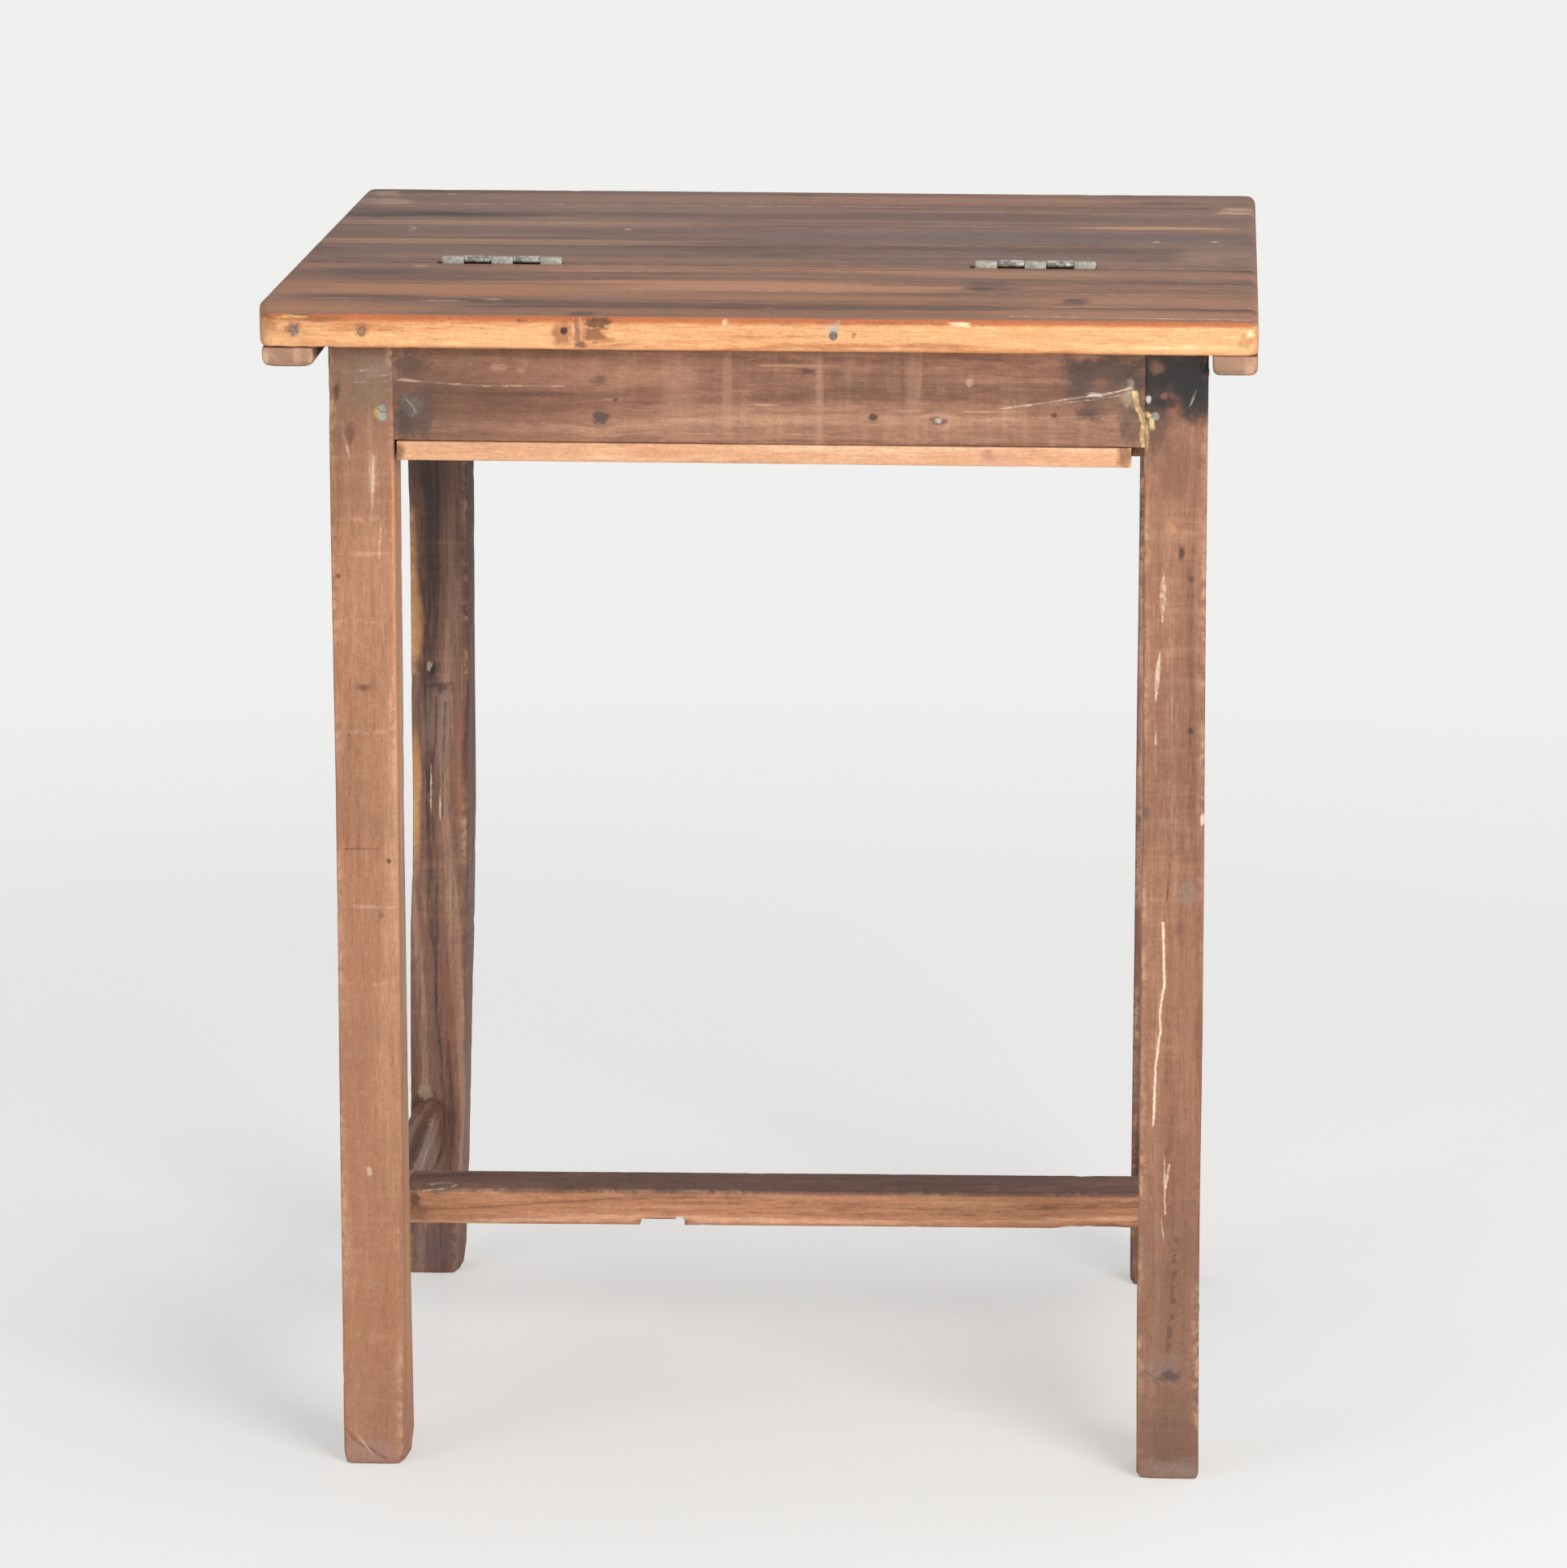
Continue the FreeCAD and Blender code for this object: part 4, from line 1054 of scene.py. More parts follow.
        top_spot(-130, 238, (200, 30, 8), (154, 118, 98), 0.6, 1.0),
        top_spot(60, 214, (220, 5, 6), (122, 94, 80), 0.5, 1.1),
        top_spot(-60, 262, (220, 6, 6), (126, 98, 84), 0.5, 1.1),
        top_spot(248, 234, (34, 15, 8), (106, 82, 72), 0.8, 1.5, 0.8),
        top_spot(0, 260, (14, 8, 6), (104, 80, 70), 0.8, 1.5),
        top_spot(72, 262, (26, 5, 6), (118, 90, 78), 0.6, 1.5),
        top_spot(136, 254, (30, 6, 6), (120, 90, 76), 0.6, 1.4, 0.8),
        top_spot(-282, 214, (26, 26, 6), (178, 148, 122), 0.6, 1.8),
        top_spot(-288, 254, (14, 16, 6), (182, 144, 112), 0.6, 1.8),
        top_spot(300, 208, (16, 12, 5), (206, 166, 136), 0.7, 1.6, 0.6),
        top_streak([(-290, 206), (-150, 206), (85, 207)], 1.6, (204, 176, 152), 0.75, 0.7),
        top_streak([(-246, 256), (-238, 250)], 1.6, (210, 182, 158), 0.6, 0.5),
        spot((3, 279, 748), (320, 10, 5), ORANGE_WEAR, 0.45, 0.8, 0.6),
    ],
}

EDGE_KNOTS = [((-109, -279, 741), (26, 20, 11))]

# Sunk nails, a borer's hole and bruised arrises of the edge strip.
EDGE_DENTS = (
    (-284, 741, 6, 0.5), (-241.7, 741, 6, 0.5), (49.9, 742, 6, 0.4), (-116.5, 741, 5, 2.6),
    (-285, 749, 12, 1.3), (127, 749, 9, 0.9), (-297, 746, 9, 1.2), (-96, 749, 10, 0.9),
    (-17, 750, 8, 0.8), (303, 748, 9, 0.8), (213, 749.5, 12, 0.7), (-187, 750, 14, 0.6),
)

# Where the two ends of the top lie: places along Y, and X there, both in millimetres.
LEFT_END = ((-279, -304.5), (-223, -312.5), (279, -303.5))
RIGHT_END = ((-279, 310.5), (279, 312.5))


def top_board(node, body, seed, pith, ring_width):
    """One board of the top, rounded where it is on the outside and tight to its neighbours."""
    low, high = corners_of(node)
    outer_low = abs(low.y - cad_low.y) < SAME_LEVEL
    outer_high = abs(high.y - cad_high.y) < SAME_LEVEL
    lower = [LOWER_ROUND if outer else JOINT_ROUND for outer in (outer_low, outer_high)]
    upper = [OUTER_ROUND if outer else JOINT_ROUND for outer in (outer_high, outer_low)]
    corners = [PLAN_CORNER if outer else CORNER_BLEND for outer in (outer_low, outer_high)]
    end = (*corners, LOWER_ROUND, OUTER_ROUND)
    dents = dents_in(-279, EDGE_DENTS) if outer_low else ()

    def slanted(point):
        left, right = between(LEFT_END, point.y / MM) * MM, between(RIGHT_END, point.y / MM) * MM
        point.x = left + (point.x - low.x) * (right - left) / (high.x - low.x)
        return point

    board = timber(node + "_worn", low, high, 0, seed, (*lower, *upper), end, end, spacing=0.0055,
                   wobble=0.0003, nick=0.0012 if outer_low else 0.0006, dents=dents, reshape=slanted)
    if outer_low:
        looks = {
            "tones": EDGE_GOLD, "skin": FIXED_BROWN, "knots": EDGE_KNOTS,
            "skin_from": (high.z - SKIN_DEEP, high.z - SKIN_FULL),
        }
    else:
        looks = {"tones": FIXED_BROWN if body == "frame" else LID_BROWN}
    material = teak(
        "teak of " + node, 0, middle_of(low, high), seed, pith=pith, ring_width=ring_width,
        ring_share=0.38, marks=TOP_MARKS[node], grime=0.24, scratches=0.3, worn=ORANGE_WEAR,
        worn_share=0.4 if outer_low else 0.2, roughness=0.5, gloss=0.3,
        end_tint=BOARD_END_GRAIN, **looks,
    )
    if node in BOARDS_AT_SEAM:
        cut_away(board, hinge_rooms(BOARDS_AT_SEAM[node]))
    dress(board, body, "edge_wood" if outer_low else "top_wood", material, node)


# Hinges

PLATE_THICKNESS = 0.002
PLATE_WINDOW = 0.0039
PLATE_BITE = 0.001
SEAT_GAP = 0.0002
PIT_SIDE = 0.0010
PIT_DEPTH = 0.0035
PIT_LEFT = 0.0035
PIT_RIGHT = 0.0006
FIXED_KNUCKLE = 0.014
PIN_RADIUS = 0.00158
ROLL_RADIUS = 0.0027
FLAT_TOP = 0.0021
KNUCKLE_GAP = 0.0003
UNDER_ROLL = 0.0016
ABOVE_THE_TOP = 0.004
PAST_THE_EDGE = 0.001

# Corners of a knuckle's outer side: how far in from the radius, and how high.
HAMMERED_CORNERS = ((0.0, 0.0), (0.0003, FLAT_TOP - 0.0006), (0.0010, FLAT_TOP))
ROLLED_CORNERS = ((0.0, -0.0012), (0.0004, 0.0))

# Turns of a knuckle's roll and of its bore, in degrees.
ROLL_STEPS = 20
ROLL_END = 290
FLAT_ROLL_START = 95
ROUND_ROLL_START = 15
BORE_TURN = 300

LEAF_SOFTENING = 0.00025
SOFTENED_ANGLE = math.radians(50)
LEAF_SHARP = math.radians(32)
FIXED_TRIM = 0.00005

# An end of a pin, riveted over: radius, and distance from the end.
RIVET = ((0.0008, 0.0), (PIN_RADIUS * 0.9, 0.0001), (PIN_RADIUS, 0.0005))
PIN_SIDES = 24
HINGE_SIDES = ("left", "right")


def hinge_sizes(side):
    """A hinge's start and end along X, its pin's line, knuckle radius and lowest point."""
    pin_low, pin_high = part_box("hinge_%s_pin" % side)
    leaf_low, leaf_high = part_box("hinge_%s_fixed_leaf" % side)
    axis_y = (pin_low[1] + pin_high[1]) / 2
    axis_z = (pin_low[2] + pin_high[2]) / 2
    return pin_low[0], pin_high[0], axis_y, axis_z, leaf_high[2] - axis_z, leaf_low[2]


def hinge_rooms(side_y):
    """What is cut from a board's edge for the leaves and knuckles of both hinges."""
    rooms = []
    for side in HINGE_SIDES:
        x0, x1, axis_y, axis_z, radius, bottom = hinge_sizes(side)
        face = axis_y + side_y * radius
        pit = face + side_y * PIT_SIDE
        near = axis_y - side_y * PAST_THE_EDGE
        rooms.append(((x0 - SEAT_GAP, min(face, near), bottom), (x1 + SEAT_GAP, max(face, near), axis_z)))
        rooms.append((
            (x0 - PIT_LEFT, min(pit, near), BOARD_TOP - PIT_DEPTH),
            (x1 + PIT_RIGHT, max(pit, near), axis_z + ABOVE_THE_TOP),
        ))
    return rooms


def knuckle_spans(x0, x1):
    """The five knuckles of a hinge from left to right."""
    moving = (x1 - x0 - 3 * FIXED_KNUCKLE) / 2
    spans, x = [], x0
    for number in range(5):
        length = moving if number % 2 else FIXED_KNUCKLE
        spans.append((x, x + length))
        x += length
    return spans


def knuckle_outline(radius, bore, flattened):
    """A rolled knuckle seen from its end: across, positive on its own leaf's side, and up.

    The flattened one is hammered to a broad face that stands up from the leaf.
    """
    start = FLAT_ROLL_START if flattened else ROUND_ROLL_START
    foot = -PLATE_WINDOW - PLATE_BITE
    points = [(radius, foot)]
    for inwards, up in HAMMERED_CORNERS if flattened else ROLLED_CORNERS:
        points.append((radius - inwards, up))
    for step in range(ROLL_STEPS + 1):
        turn = math.radians(start + (ROLL_END - start) * step / ROLL_STEPS)
        across, up = ROLL_RADIUS * math.cos(turn), ROLL_RADIUS * math.sin(turn)
        points.append((across, min(up, FLAT_TOP) if flattened else up))
    for step in range(ROLL_STEPS + 1):
        turn = math.radians(ROLL_END - BORE_TURN * step / ROLL_STEPS)
        points.append((bore * math.cos(turn), bore * math.sin(turn)))
    points.append((radius - PLATE_THICKNESS, -UNDER_ROLL))
    points.append((radius - PLATE_THICKNESS, foot))
    return points


def hinge_leaf(side, side_y, node, body):
    """A leaf of a hinge: its plate, let into the board's edge, and its rolled knuckles."""
    x0, x1, axis_y, axis_z, radius, bottom = hinge_sizes(side)
    face = axis_y + side_y * radius
    inner = face - side_y * PLATE_THICKNESS
    plate = (x0, min(face, inner), bottom), (x1, max(face, inner), axis_z - PLATE_WINDOW)
    vertices, polygons = box_corners(*plate), box_faces()
    outline = knuckle_outline(radius, PIN_RADIUS, side_y < 0)
    for number, (start, end) in enumerate(knuckle_spans(x0, x1)):
        if (number % 2 == 0) != (side_y < 0):
            continue
        trim = KNUCKLE_GAP if side_y > 0 else FIXED_TRIM
        first = len(vertices)
        for x in (start + trim, end - trim):
            vertices += [Vector((x, axis_y + side_y * u, axis_z + w)) for u, w in outline]
        polygons += prism_faces(first, len(outline))
    leaf = finished_mesh(node + "_rolled", vertices, polygons, smooth=False)
    soften = leaf.modifiers.new("soften", "BEVEL")
    soften.width = LEAF_SOFTENING
    soften.segments = 2
    soften.limit_method = "ANGLE"
    soften.angle_limit = SOFTENED_ANGLE
    apply_modifiers(leaf)
    leaf.data.polygons.foreach_set("use_smooth", [True] * len(leaf.data.polygons))
    leaf.data.set_sharp_from_angle(angle=LEAF_SHARP)
    dress(leaf, body, "hinge_steel", KNUCKLE_STEEL if side_y > 0 else HINGE_STEEL, node)


def lathe(profile, origin, direction, sides, uneven=0.0, seed=0.0):
    """Turns a profile of (radius, height) about a line; returns points and faces."""
    turn = Vector((0, 0, 1)).rotation_difference(direction)
    points = []
    for radius, height in profile:
        for n in range(sides):
            angle = 2 * math.pi * n / sides
            swell = 1 + uneven * noise.noise(Vector((math.cos(angle) * 1.3, math.sin(angle) * 1.3, seed)))
            place = Vector((radius * swell * math.cos(angle), radius * swell * math.sin(angle), height))
            points.append(origin + turn @ place)
    rings = [range(n * sides, (n + 1) * sides) for n in range(len(profile))]
    polygons = [face for first, second in zip(rings, rings[1:]) for face in band(first, second)]
    return points, polygons + [tuple(reversed(rings[0])), tuple(rings[-1])]


def hinge_pin(side):
    """The pin of a hinge, with its ends riveted over a little."""
    x0, x1, axis_y, axis_z = hinge_sizes(side)[:4]
    length = x1 - x0
    profile = [*RIVET, *((radius, length - height) for radius, height in reversed(RIVET))]
    points, polygons = lathe(profile, Vector((x0, axis_y, axis_z)), Vector((1, 0, 0)), PIN_SIDES)
    node = "hinge_%s_pin" % side
    pin = finished_mesh(node + "_riveted", points, polygons)
    dress(pin, "frame", "hinge_steel", HINGE_STEEL, node)


# Nails and screws

def islands(shaper):
    """The points of each separate solid of a mesh."""
    seen = set()
    for start in shaper.verts:
        if start in seen:
            continue
        island, queue = [], [start]
        seen.add(start)
        while queue:
            vertex = queue.pop()
            island.append(vertex.co.copy())
            for edge in vertex.link_edges:
                other = edge.other_vert(vertex)
                if other not in seen:
                    seen.add(other)
                    queue.append(other)
        yield island


def head_of(island):
    """The middle of a nail's or a screw's head, its wider end, and the way that it points."""
    low = Vector([min(p[n] for p in island) for n in range(3)])
    high = Vector([max(p[n] for p in island) for n in range(3)])
    axis = max(range(3), key=lambda n: high[n] - low[n])
    centre = (low + high) / 2

    def spread(level):
        near = [p for p in island if abs(p[axis] - level) < SAME_LEVEL]
        return max((p - centre).length_squared - (p[axis] - centre[axis]) ** 2 for p in near)

    head_is_low = spread(low[axis]) > spread(high[axis])
    head, direction = centre.copy(), Vector()
    head[axis] = low[axis] if head_is_low else high[axis]
    direction[axis] = 1.0 if head_is_low else -1.0
    return head, direction


def fasteners(node):
    """Where each nail or screw of a node has its head, and the way that it points."""
    shaper = bmesh.new()
    shaper.from_mesh(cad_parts[node].data)
    bmesh.ops.remove_doubles(shaper, verts=shaper.verts, dist=SAME_POINT)
    found = [head_of(island) for island in islands(shaper)]
    shaper.free()
    return sorted(found, key=lambda one: tuple(round(c, 5) for c in one[0]))


NAIL_RADIUS = 0.0029
NAIL_UNEVEN = 0.16
NAIL_SIDES = 20
NAIL_PROUD = 0.00025
NAIL_CENTRE = 0.0004

# A nail from its crown down: shares of the radius and of how far it stands out, then shares of
# the radius and depths of the rim, then radius and depth of the shank.
NAIL_CROWN = ((0.45, 0.95), (0.8, 0.6))
NAIL_RIM = ((0.97, 0.0001), (1.0, 0.0005), (0.9, 0.0009))
NAIL_SHANK = ((0.0012, 0.0012), (0.0010, 0.006))

SCREW_RADIUS = 0.0033
SCREW_SIDES = 28
SCREW_SHANK = ((0.0016, 0.0022), (0.0016, 0.011), (0.0002, 0.016))
SLOT_HALF = 0.0004
SLOT_DEPTH = 0.0007
SLOT_OVERLAP = 0.0001
RIM_STEPS = 14
RIM_LEAN = 0.97


def nail_heads(node, material=NAIL_IRON, body="frame", proud=NAIL_PROUD):
    """Hammered nail heads with a stub of their shanks, one for each nail of a node."""
    vertices, polygons = [], []
    for number, (head, direction) in enumerate(fasteners(node)):
        head = on_its_leg(head)
        radius = NAIL_RADIUS * (0.94 + 0.1 * noise.noise(Vector((number * 1.7, 0.3, 0.1))))
        profile = [(NAIL_CENTRE, -proud)]
        profile += [(radius * share, -proud * height) for share, height in NAIL_CROWN]
        profile += [(radius * share, depth) for share, depth in NAIL_RIM]
        profile += NAIL_SHANK
        points, faces = lathe(profile, head, direction, NAIL_SIDES, NAIL_UNEVEN, number * 2.9)
        polygons += [tuple(n + len(vertices) for n in face) for face in faces]
        vertices += points
    heads = finished_mesh(node + "_hammered", vertices, polygons)
    dress(heads, body, "nail_iron", material, node)


def screw_heads(node, body):
    """Slotted countersunk heads with their shanks, one for each screw of a node."""
    vertices, polygons = [], []
    for number, (head, direction) in enumerate(fasteners(node)):
        tilt = math.radians(35 * (number * 0.7 % 3) + 10)
        turn = Vector((0, 0, 1)).rotation_difference(direction)
        points, faces = lathe([(SCREW_RADIUS, SLOT_DEPTH), *SCREW_SHANK], head, direction, SCREW_SIDES)
        polygons += [tuple(n + len(vertices) for n in face) for face in faces]
        vertices += points
        opening = math.asin(SLOT_HALF / SCREW_RADIUS)
        for half in (0, 1):
            rim = []
            for step in range(RIM_STEPS + 1):
                angle = opening + (math.pi - 2 * opening) * step / RIM_STEPS + math.pi * half + tilt
                rim.append((SCREW_RADIUS * math.cos(angle), SCREW_RADIUS * math.sin(angle)))
            first = len(vertices)
            for lean, depth in ((RIM_LEAN, 0.0), (1.0, SLOT_DEPTH + SLOT_OVERLAP)):
                for x, y in rim:
                    vertices.append(head + turn @ Vector((x * lean, y * lean, depth)))
            polygons += prism_faces(first, len(rim))
    screws = finished_mesh(node + "_slotted", vertices, polygons, smooth=False)
    dress(screws, body, "screw_steel", SCREW_STEEL, node)


# Frame of the desk

# The legs taper from the box down to the foot.
BOX_LOW_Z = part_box("floor_board_1")[0][2]
LEG_SIZE = 0.041
LEG_FOOT_SIZE = 0.0385
LEG_ARRIS = 0.0022
FOOT_ROUND = 0.0022
LEG_TOP_ROUND = 0.0008

# Worn corners of a foot: its side along X and along Y, reach and depth.
FOOT_DENTS = (("inner", "outer", 12, 2.2), ("inner", "inner", 12, 3), ("outer", "outer", 9, 1.4))

# The glue that ran out of the right joint of the back apron, over the leg and the apron.
GLUE_MARKS = [
    leg_streak([(234.5, 704), (236.3, 694.4), (238.9, 689.9), (240.5, 684.8), (240, 672)],
        2.0, GLUE, 0.85, 0.5),
    leg_streak([(241, 690), (245, 688), (246, 680)], 1.8, GLUE, 0.8, 0.5),
    leg_streak([(241.5, 686), (243, 676), (242, 668)], 1.5, (206, 176, 122), 0.7, 0.6),
    leg_streak([(240.5, 672), (240.8, 662), (241, 652)], 1.4, (206, 188, 150), 0.75, 0.4),
]

LEG_MARKS = {
    "leg_back_left": [
        # Painted shade under the top: the leg's upper part is darkened where the top shades it.
        leg_spot(-244, 745, (80, 40, 165), (92, 69, 58), 0.8, 0.5, 1.0),
        leg_spot(-244, 150, (90, 60, 420), (146, 100, 76), 0.5, 0.6, 1.0),
        # Painted highlight along the rounded right arris, where the light catches it.
        leg_streak([(-225.6, 655), (-225.2, 400), (-226, 60)], 1.1, (232, 160, 112), 0.5, 0.3),
        # Painted light: the leg's right side is made paler and greyer where the light from the right falls
        # on it.
        spot((-223.5, -240, 330), (3.0, 18, 380), (186, 166, 134), 0.6, 0.8, 0.6),
        leg_streak([(-262, 618), (-228, 620)], 2.4, PALE_LINE, 0.16, 0.9),
        leg_streak([(-262, 596), (-228, 597)], 1.8, PALE_LINE, 0.18, 0.9),
        leg_streak([(-262, 553), (-228, 554)], 2.0, PALE_LINE, 0.18, 0.9),
        leg_streak([(-262, 482), (-228, 483)], 2.2, PALE_LINE, 0.16, 0.9),
        leg_streak([(-262, 370), (-228, 369)], 1.6, PALE_LINE, 0.2, 0.8),
        leg_streak([(-262, 319), (-228, 320)], 1.8, PALE_LINE, 0.18, 0.9),
        leg_spot(-238, 648, (4, 6, 18), PALE_LINE, 0.35, 2.4, 0.9),
        leg_spot(-247, 640, (30, 8, 60), (134, 92, 68), 0.25, 1.6, 1.0),
        leg_spot(-244, 700, (26, 12, 32), (112, 92, 74), 0.5, 1.6, 0.9),
        leg_spot(-238, 714, (22, 8, 12), (134, 112, 96), 0.5, 2.0, 1.0),
        leg_streak([(-249, 712.4), (-227, 711.6)], 1.1, GREY_SMEAR, 0.5, 0.8),
        leg_streak([(-243, 708.6), (-226, 709.4)], 0.8, GREY_SMEAR, 0.4, 0.8),
        leg_streak([(-250, 704.6), (-229, 705.4)], 0.9, GREY_SMEAR, 0.35, 0.9),
        leg_spot(-238, 697, (12, 6, 12), (122, 104, 84), 0.5, 2.2, 1.0),
        leg_streak([(-258, 708), (-261, 692)], 1.2, (88, 60, 48), 0.5, 0.5),
        leg_streak([(-249, 678), (-253, 664)], 1.3, (102, 66, 50), 0.5, 0.4),
        leg_streak([(-256, 672), (-252, 655)], 1.0, PALE_LINE, 0.3, 0.7),
        leg_spot(-233.7, 686, (4, 5, 6), (178, 158, 92), 0.65, 1.3),
        leg_spot(-231.5, 683.5, (3.5, 4, 3.5), (140, 150, 148), 0.8, 0.9, 0.5),
        leg_spot(-260, 699, (3, 5, 7), KNOT_BROWN, 0.75, 1.4, 0.6),
        leg_spot(-252, 673, (3.5, 5, 9), (96, 60, 46), 0.65, 1.4, 0.6),
        leg_streak([(-237.5, 659), (-239.1, 618)], 0.9, PALE_LINE, 0.5, 0.6),
        leg_streak([(-233.5, 618), (-234.9, 593)], 0.8, PALE_LINE, 0.5, 0.6),
        leg_spot(-260.5, 582, (2.1, 6, 2), KNOT_BROWN, 0.7, 0.9, 0.6),
        leg_spot(-245.2, 511.2, (9, 6, 3.6), (124, 82, 66), 0.7, 1.2, 0.8),
        leg_spot(-246, 511.2, (3.4, 6, 1.8), KNOT_BROWN, 0.5, 1.0, 0.6),
        leg_streak([(-262.5, 406.9), (-236.8, 407.3)], 0.7, DARK_CHECK, 0.55, 0.3),
        leg_spot(-231.3, 399.5, (2.1, 6, 2.1), KNOT_BROWN, 0.7, 0.9, 0.6),
        leg_spot(-236.4, 364, (2.6, 6, 2.7), (120, 78, 62), 0.6, 1.2, 0.6),
        leg_spot(-254, 265, (4, 6, 4.3), (140, 96, 76), 0.5, 1.2, 0.9),
        leg_spot(-246.3, 196, (2.6, 6, 4.3), PALE_LINE, 0.5, 1.2),
        spot((-224, -240, 110), (3, 16, 110), SAPWOOD, 0.6, 0.9),
        leg_spot(-246, 20, (40, 40, 70), (140, 100, 80), 0.45, 1.0, 1.0),
        leg_spot(-247, 6, (26, 14, 14), (150, 116, 104), 0.75, 1.8, 0.6),
        leg_streak([(-264, 24), (-256, 14), (-247, 10), (-238, 4)], 1.3, (92, 62, 54), 0.6, 0.5),
        leg_streak([(-258, 22), (-246, 6)], 0.9, (196, 160, 142), 0.6, 0.5),
    ],
    "leg_back_right": [
        # Painted shade under the top: the leg's upper part is darkened where the top shades it.
        leg_spot(260, 735, (60, 30, 100), (104, 76, 62), 0.4, 0.5, 1.0),
        leg_spot(261, 715, (44, 14, 36), (54, 42, 39), 0.9, 1.1, 0.5),
        leg_spot(247, 716, (17, 8, 30), BLACK_STAIN, 0.85, 1.8, 0.6),
        leg_spot(259, 695, (10, 8, 12), (150, 96, 70), 0.6, 1.8, 0.8),
        leg_spot(249, 684, (11, 8, 34), (66, 52, 47), 0.6, 2.0, 0.8),
        leg_spot(262, 660, (24, 8, 36), (104, 70, 54), 0.5, 2.0, 0.9),
        leg_spot(270, 712, (24, 12, 22), BLACK_STAIN, 0.9, 1.1, 0.6),
        leg_spot(272.8, 697, (15, 9, 17), BLACK_STAIN, 0.85, 1.3, 0.6),
        leg_spot(254, 697, (10, 6, 5), BLACK_STAIN, 0.75, 1.3, 0.6),
        leg_spot(248, 719.3, (7, 6, 7), (112, 78, 60), 0.75, 1.3, 0.8),
        leg_spot(253.2, 701.2, (3.2, 6, 3), (116, 80, 62), 0.85, 0.9, 0.6),
        leg_spot(243.3, 699, (2.2, 6, 3), (188, 190, 186), 0.9, 0.8, 0.5),
        leg_streak([(273.1, 705.4), (268.3, 693.7)], 0.8, (160, 152, 142), 0.6, 0.6),
        *GLUE_MARKS,
        leg_spot(258.3, 618.3, (5.5, 6, 4.6), (192, 140, 102), 0.45, 2.0, 0.8),
        leg_spot(265, 602.5, (2.5, 6, 6), (60, 38, 34), 0.85, 0.9, 0.6),
        leg_spot(271.2, 586.2, (2.5, 6, 3.1), KNOT_BROWN, 0.65, 1.0),
        leg_streak([(254.1, 590), (253.5, 558.8)], 2.3, PALE_LINE, 0.55, 0.6),
        leg_streak([(252.2, 539.7), (250, 509.2)], 1.7, PALE_LINE, 0.7, 0.4),
        leg_streak([(250.2, 493.7), (250.6, 463.1)], 0.8, PALE_LINE, 0.5, 0.8),
        leg_spot(272, 489.8, (2.6, 6, 3.1), (66, 42, 36), 0.85, 0.9, 0.6),
        leg_streak([(272, 488), (271, 474)], 0.7, (96, 62, 50), 0.6, 0.3),
        leg_spot(244.8, 437, (3.1, 6, 5.7), (92, 82, 84), 0.75, 0.9),
        leg_spot(280.3, 433.3, (2, 6, 5.2), PALE_LINE, 0.8, 0.9, 0.5),
        leg_streak([(263.5, 445.6), (258.2, 380.8)], 1.2, (112, 74, 56), 0.6, 0.4),
        leg_streak([(259.4, 392), (258.4, 379)], 0.6, DARK_CHECK, 0.75, 0.2),
        leg_spot(271.8, 386.2, (10.2, 6, 11.5), (132, 112, 98), 0.6, 1.2),
        leg_spot(267.1, 362.5, (5, 6, 5.7), (112, 76, 68), 0.6, 1.0, 0.8),
        leg_streak([(256.3, 367.1), (257, 351.4), (257.8, 327.2), (256, 315), (255.1, 304.5),
            (255.7, 297.1), (252.9, 272.7), (251.8, 234.4)], 0.9, (232, 208, 182), 0.85, 0.25),
        leg_streak([(259.2, 214.3), (259.5, 188.7)], 0.8, (228, 200, 172), 0.75, 0.5),
        leg_streak([(262.4, 209.1), (259.5, 188.7), (260.2, 175.9)], 0.75, (228, 200, 172), 0.7, 0.3),
        leg_streak([(257.7, 173.2), (259.4, 157.1)], 0.65, PALE_LINE, 0.7, 0.5),
        leg_spot(262, 90, (80, 60, 180), (112, 82, 68), 0.55, 0.7, 1.0),
        leg_spot(266, 20, (36, 40, 60), (104, 76, 64), 0.8, 1.0, 1.0),
        leg_streak([(267, 160), (265.5, 122), (263, 84)], 2.0, (92, 62, 50), 0.7, 0.9),
        leg_spot(260, 73, (19, 8, 17), (128, 106, 98), 0.5, 2.0, 0.9),
        leg_spot(264.5, 69, (9, 6, 5), (78, 60, 56), 0.8, 1.8, 0.6),
        leg_streak([(247, 73), (253, 69), (258, 61)], 0.9, (88, 62, 54), 0.65, 0.5),
        leg_spot(266, 3, (32, 30, 16), (134, 114, 104), 0.7, 1.4, 0.8),
    ],
    "leg_front_left": [
        far_spot(-264, 500, (8.5, 14, 66), SAPWOOD, 0.8, 0.7, 0.5),
        far_spot(-262, 466, (9, 14, 34), SAPWOOD, 0.75, 0.9, 0.5),
        far_spot(-264, 345, (8, 14, 62), SAPWOOD, 0.7, 0.9, 0.5),
        far_spot(-243.9, 391, (18, 10, 40), (122, 100, 92), 0.55, 1.8, 0.8),
        far_streak([(-257, 505), (-252, 470), (-250, 440)], 1.6, (62, 44, 38), 0.6, 0.4),
        far_spot(-249, 433, (7, 8, 13), (62, 44, 38), 0.75, 2.2, 0.6),
        far_spot(-249, 434, (3.4, 6, 6), (38, 30, 28), 0.9, 1.6, 0.5),
        far_spot(-250.5, 437, (2.0, 6, 5), (176, 158, 140), 0.65, 2.6, 0.4),
        far_spot(-243, 422, (10, 8, 5), (52, 38, 34), 0.6, 2.4, 0.6),
        far_streak([(-246, 415), (-247, 385), (-252, 350)], 1.2, (56, 42, 40), 0.7, 0.3),
        far_streak([(-240, 412), (-242, 372), (-243, 330)], 1.0, (66, 46, 42), 0.6, 0.4),
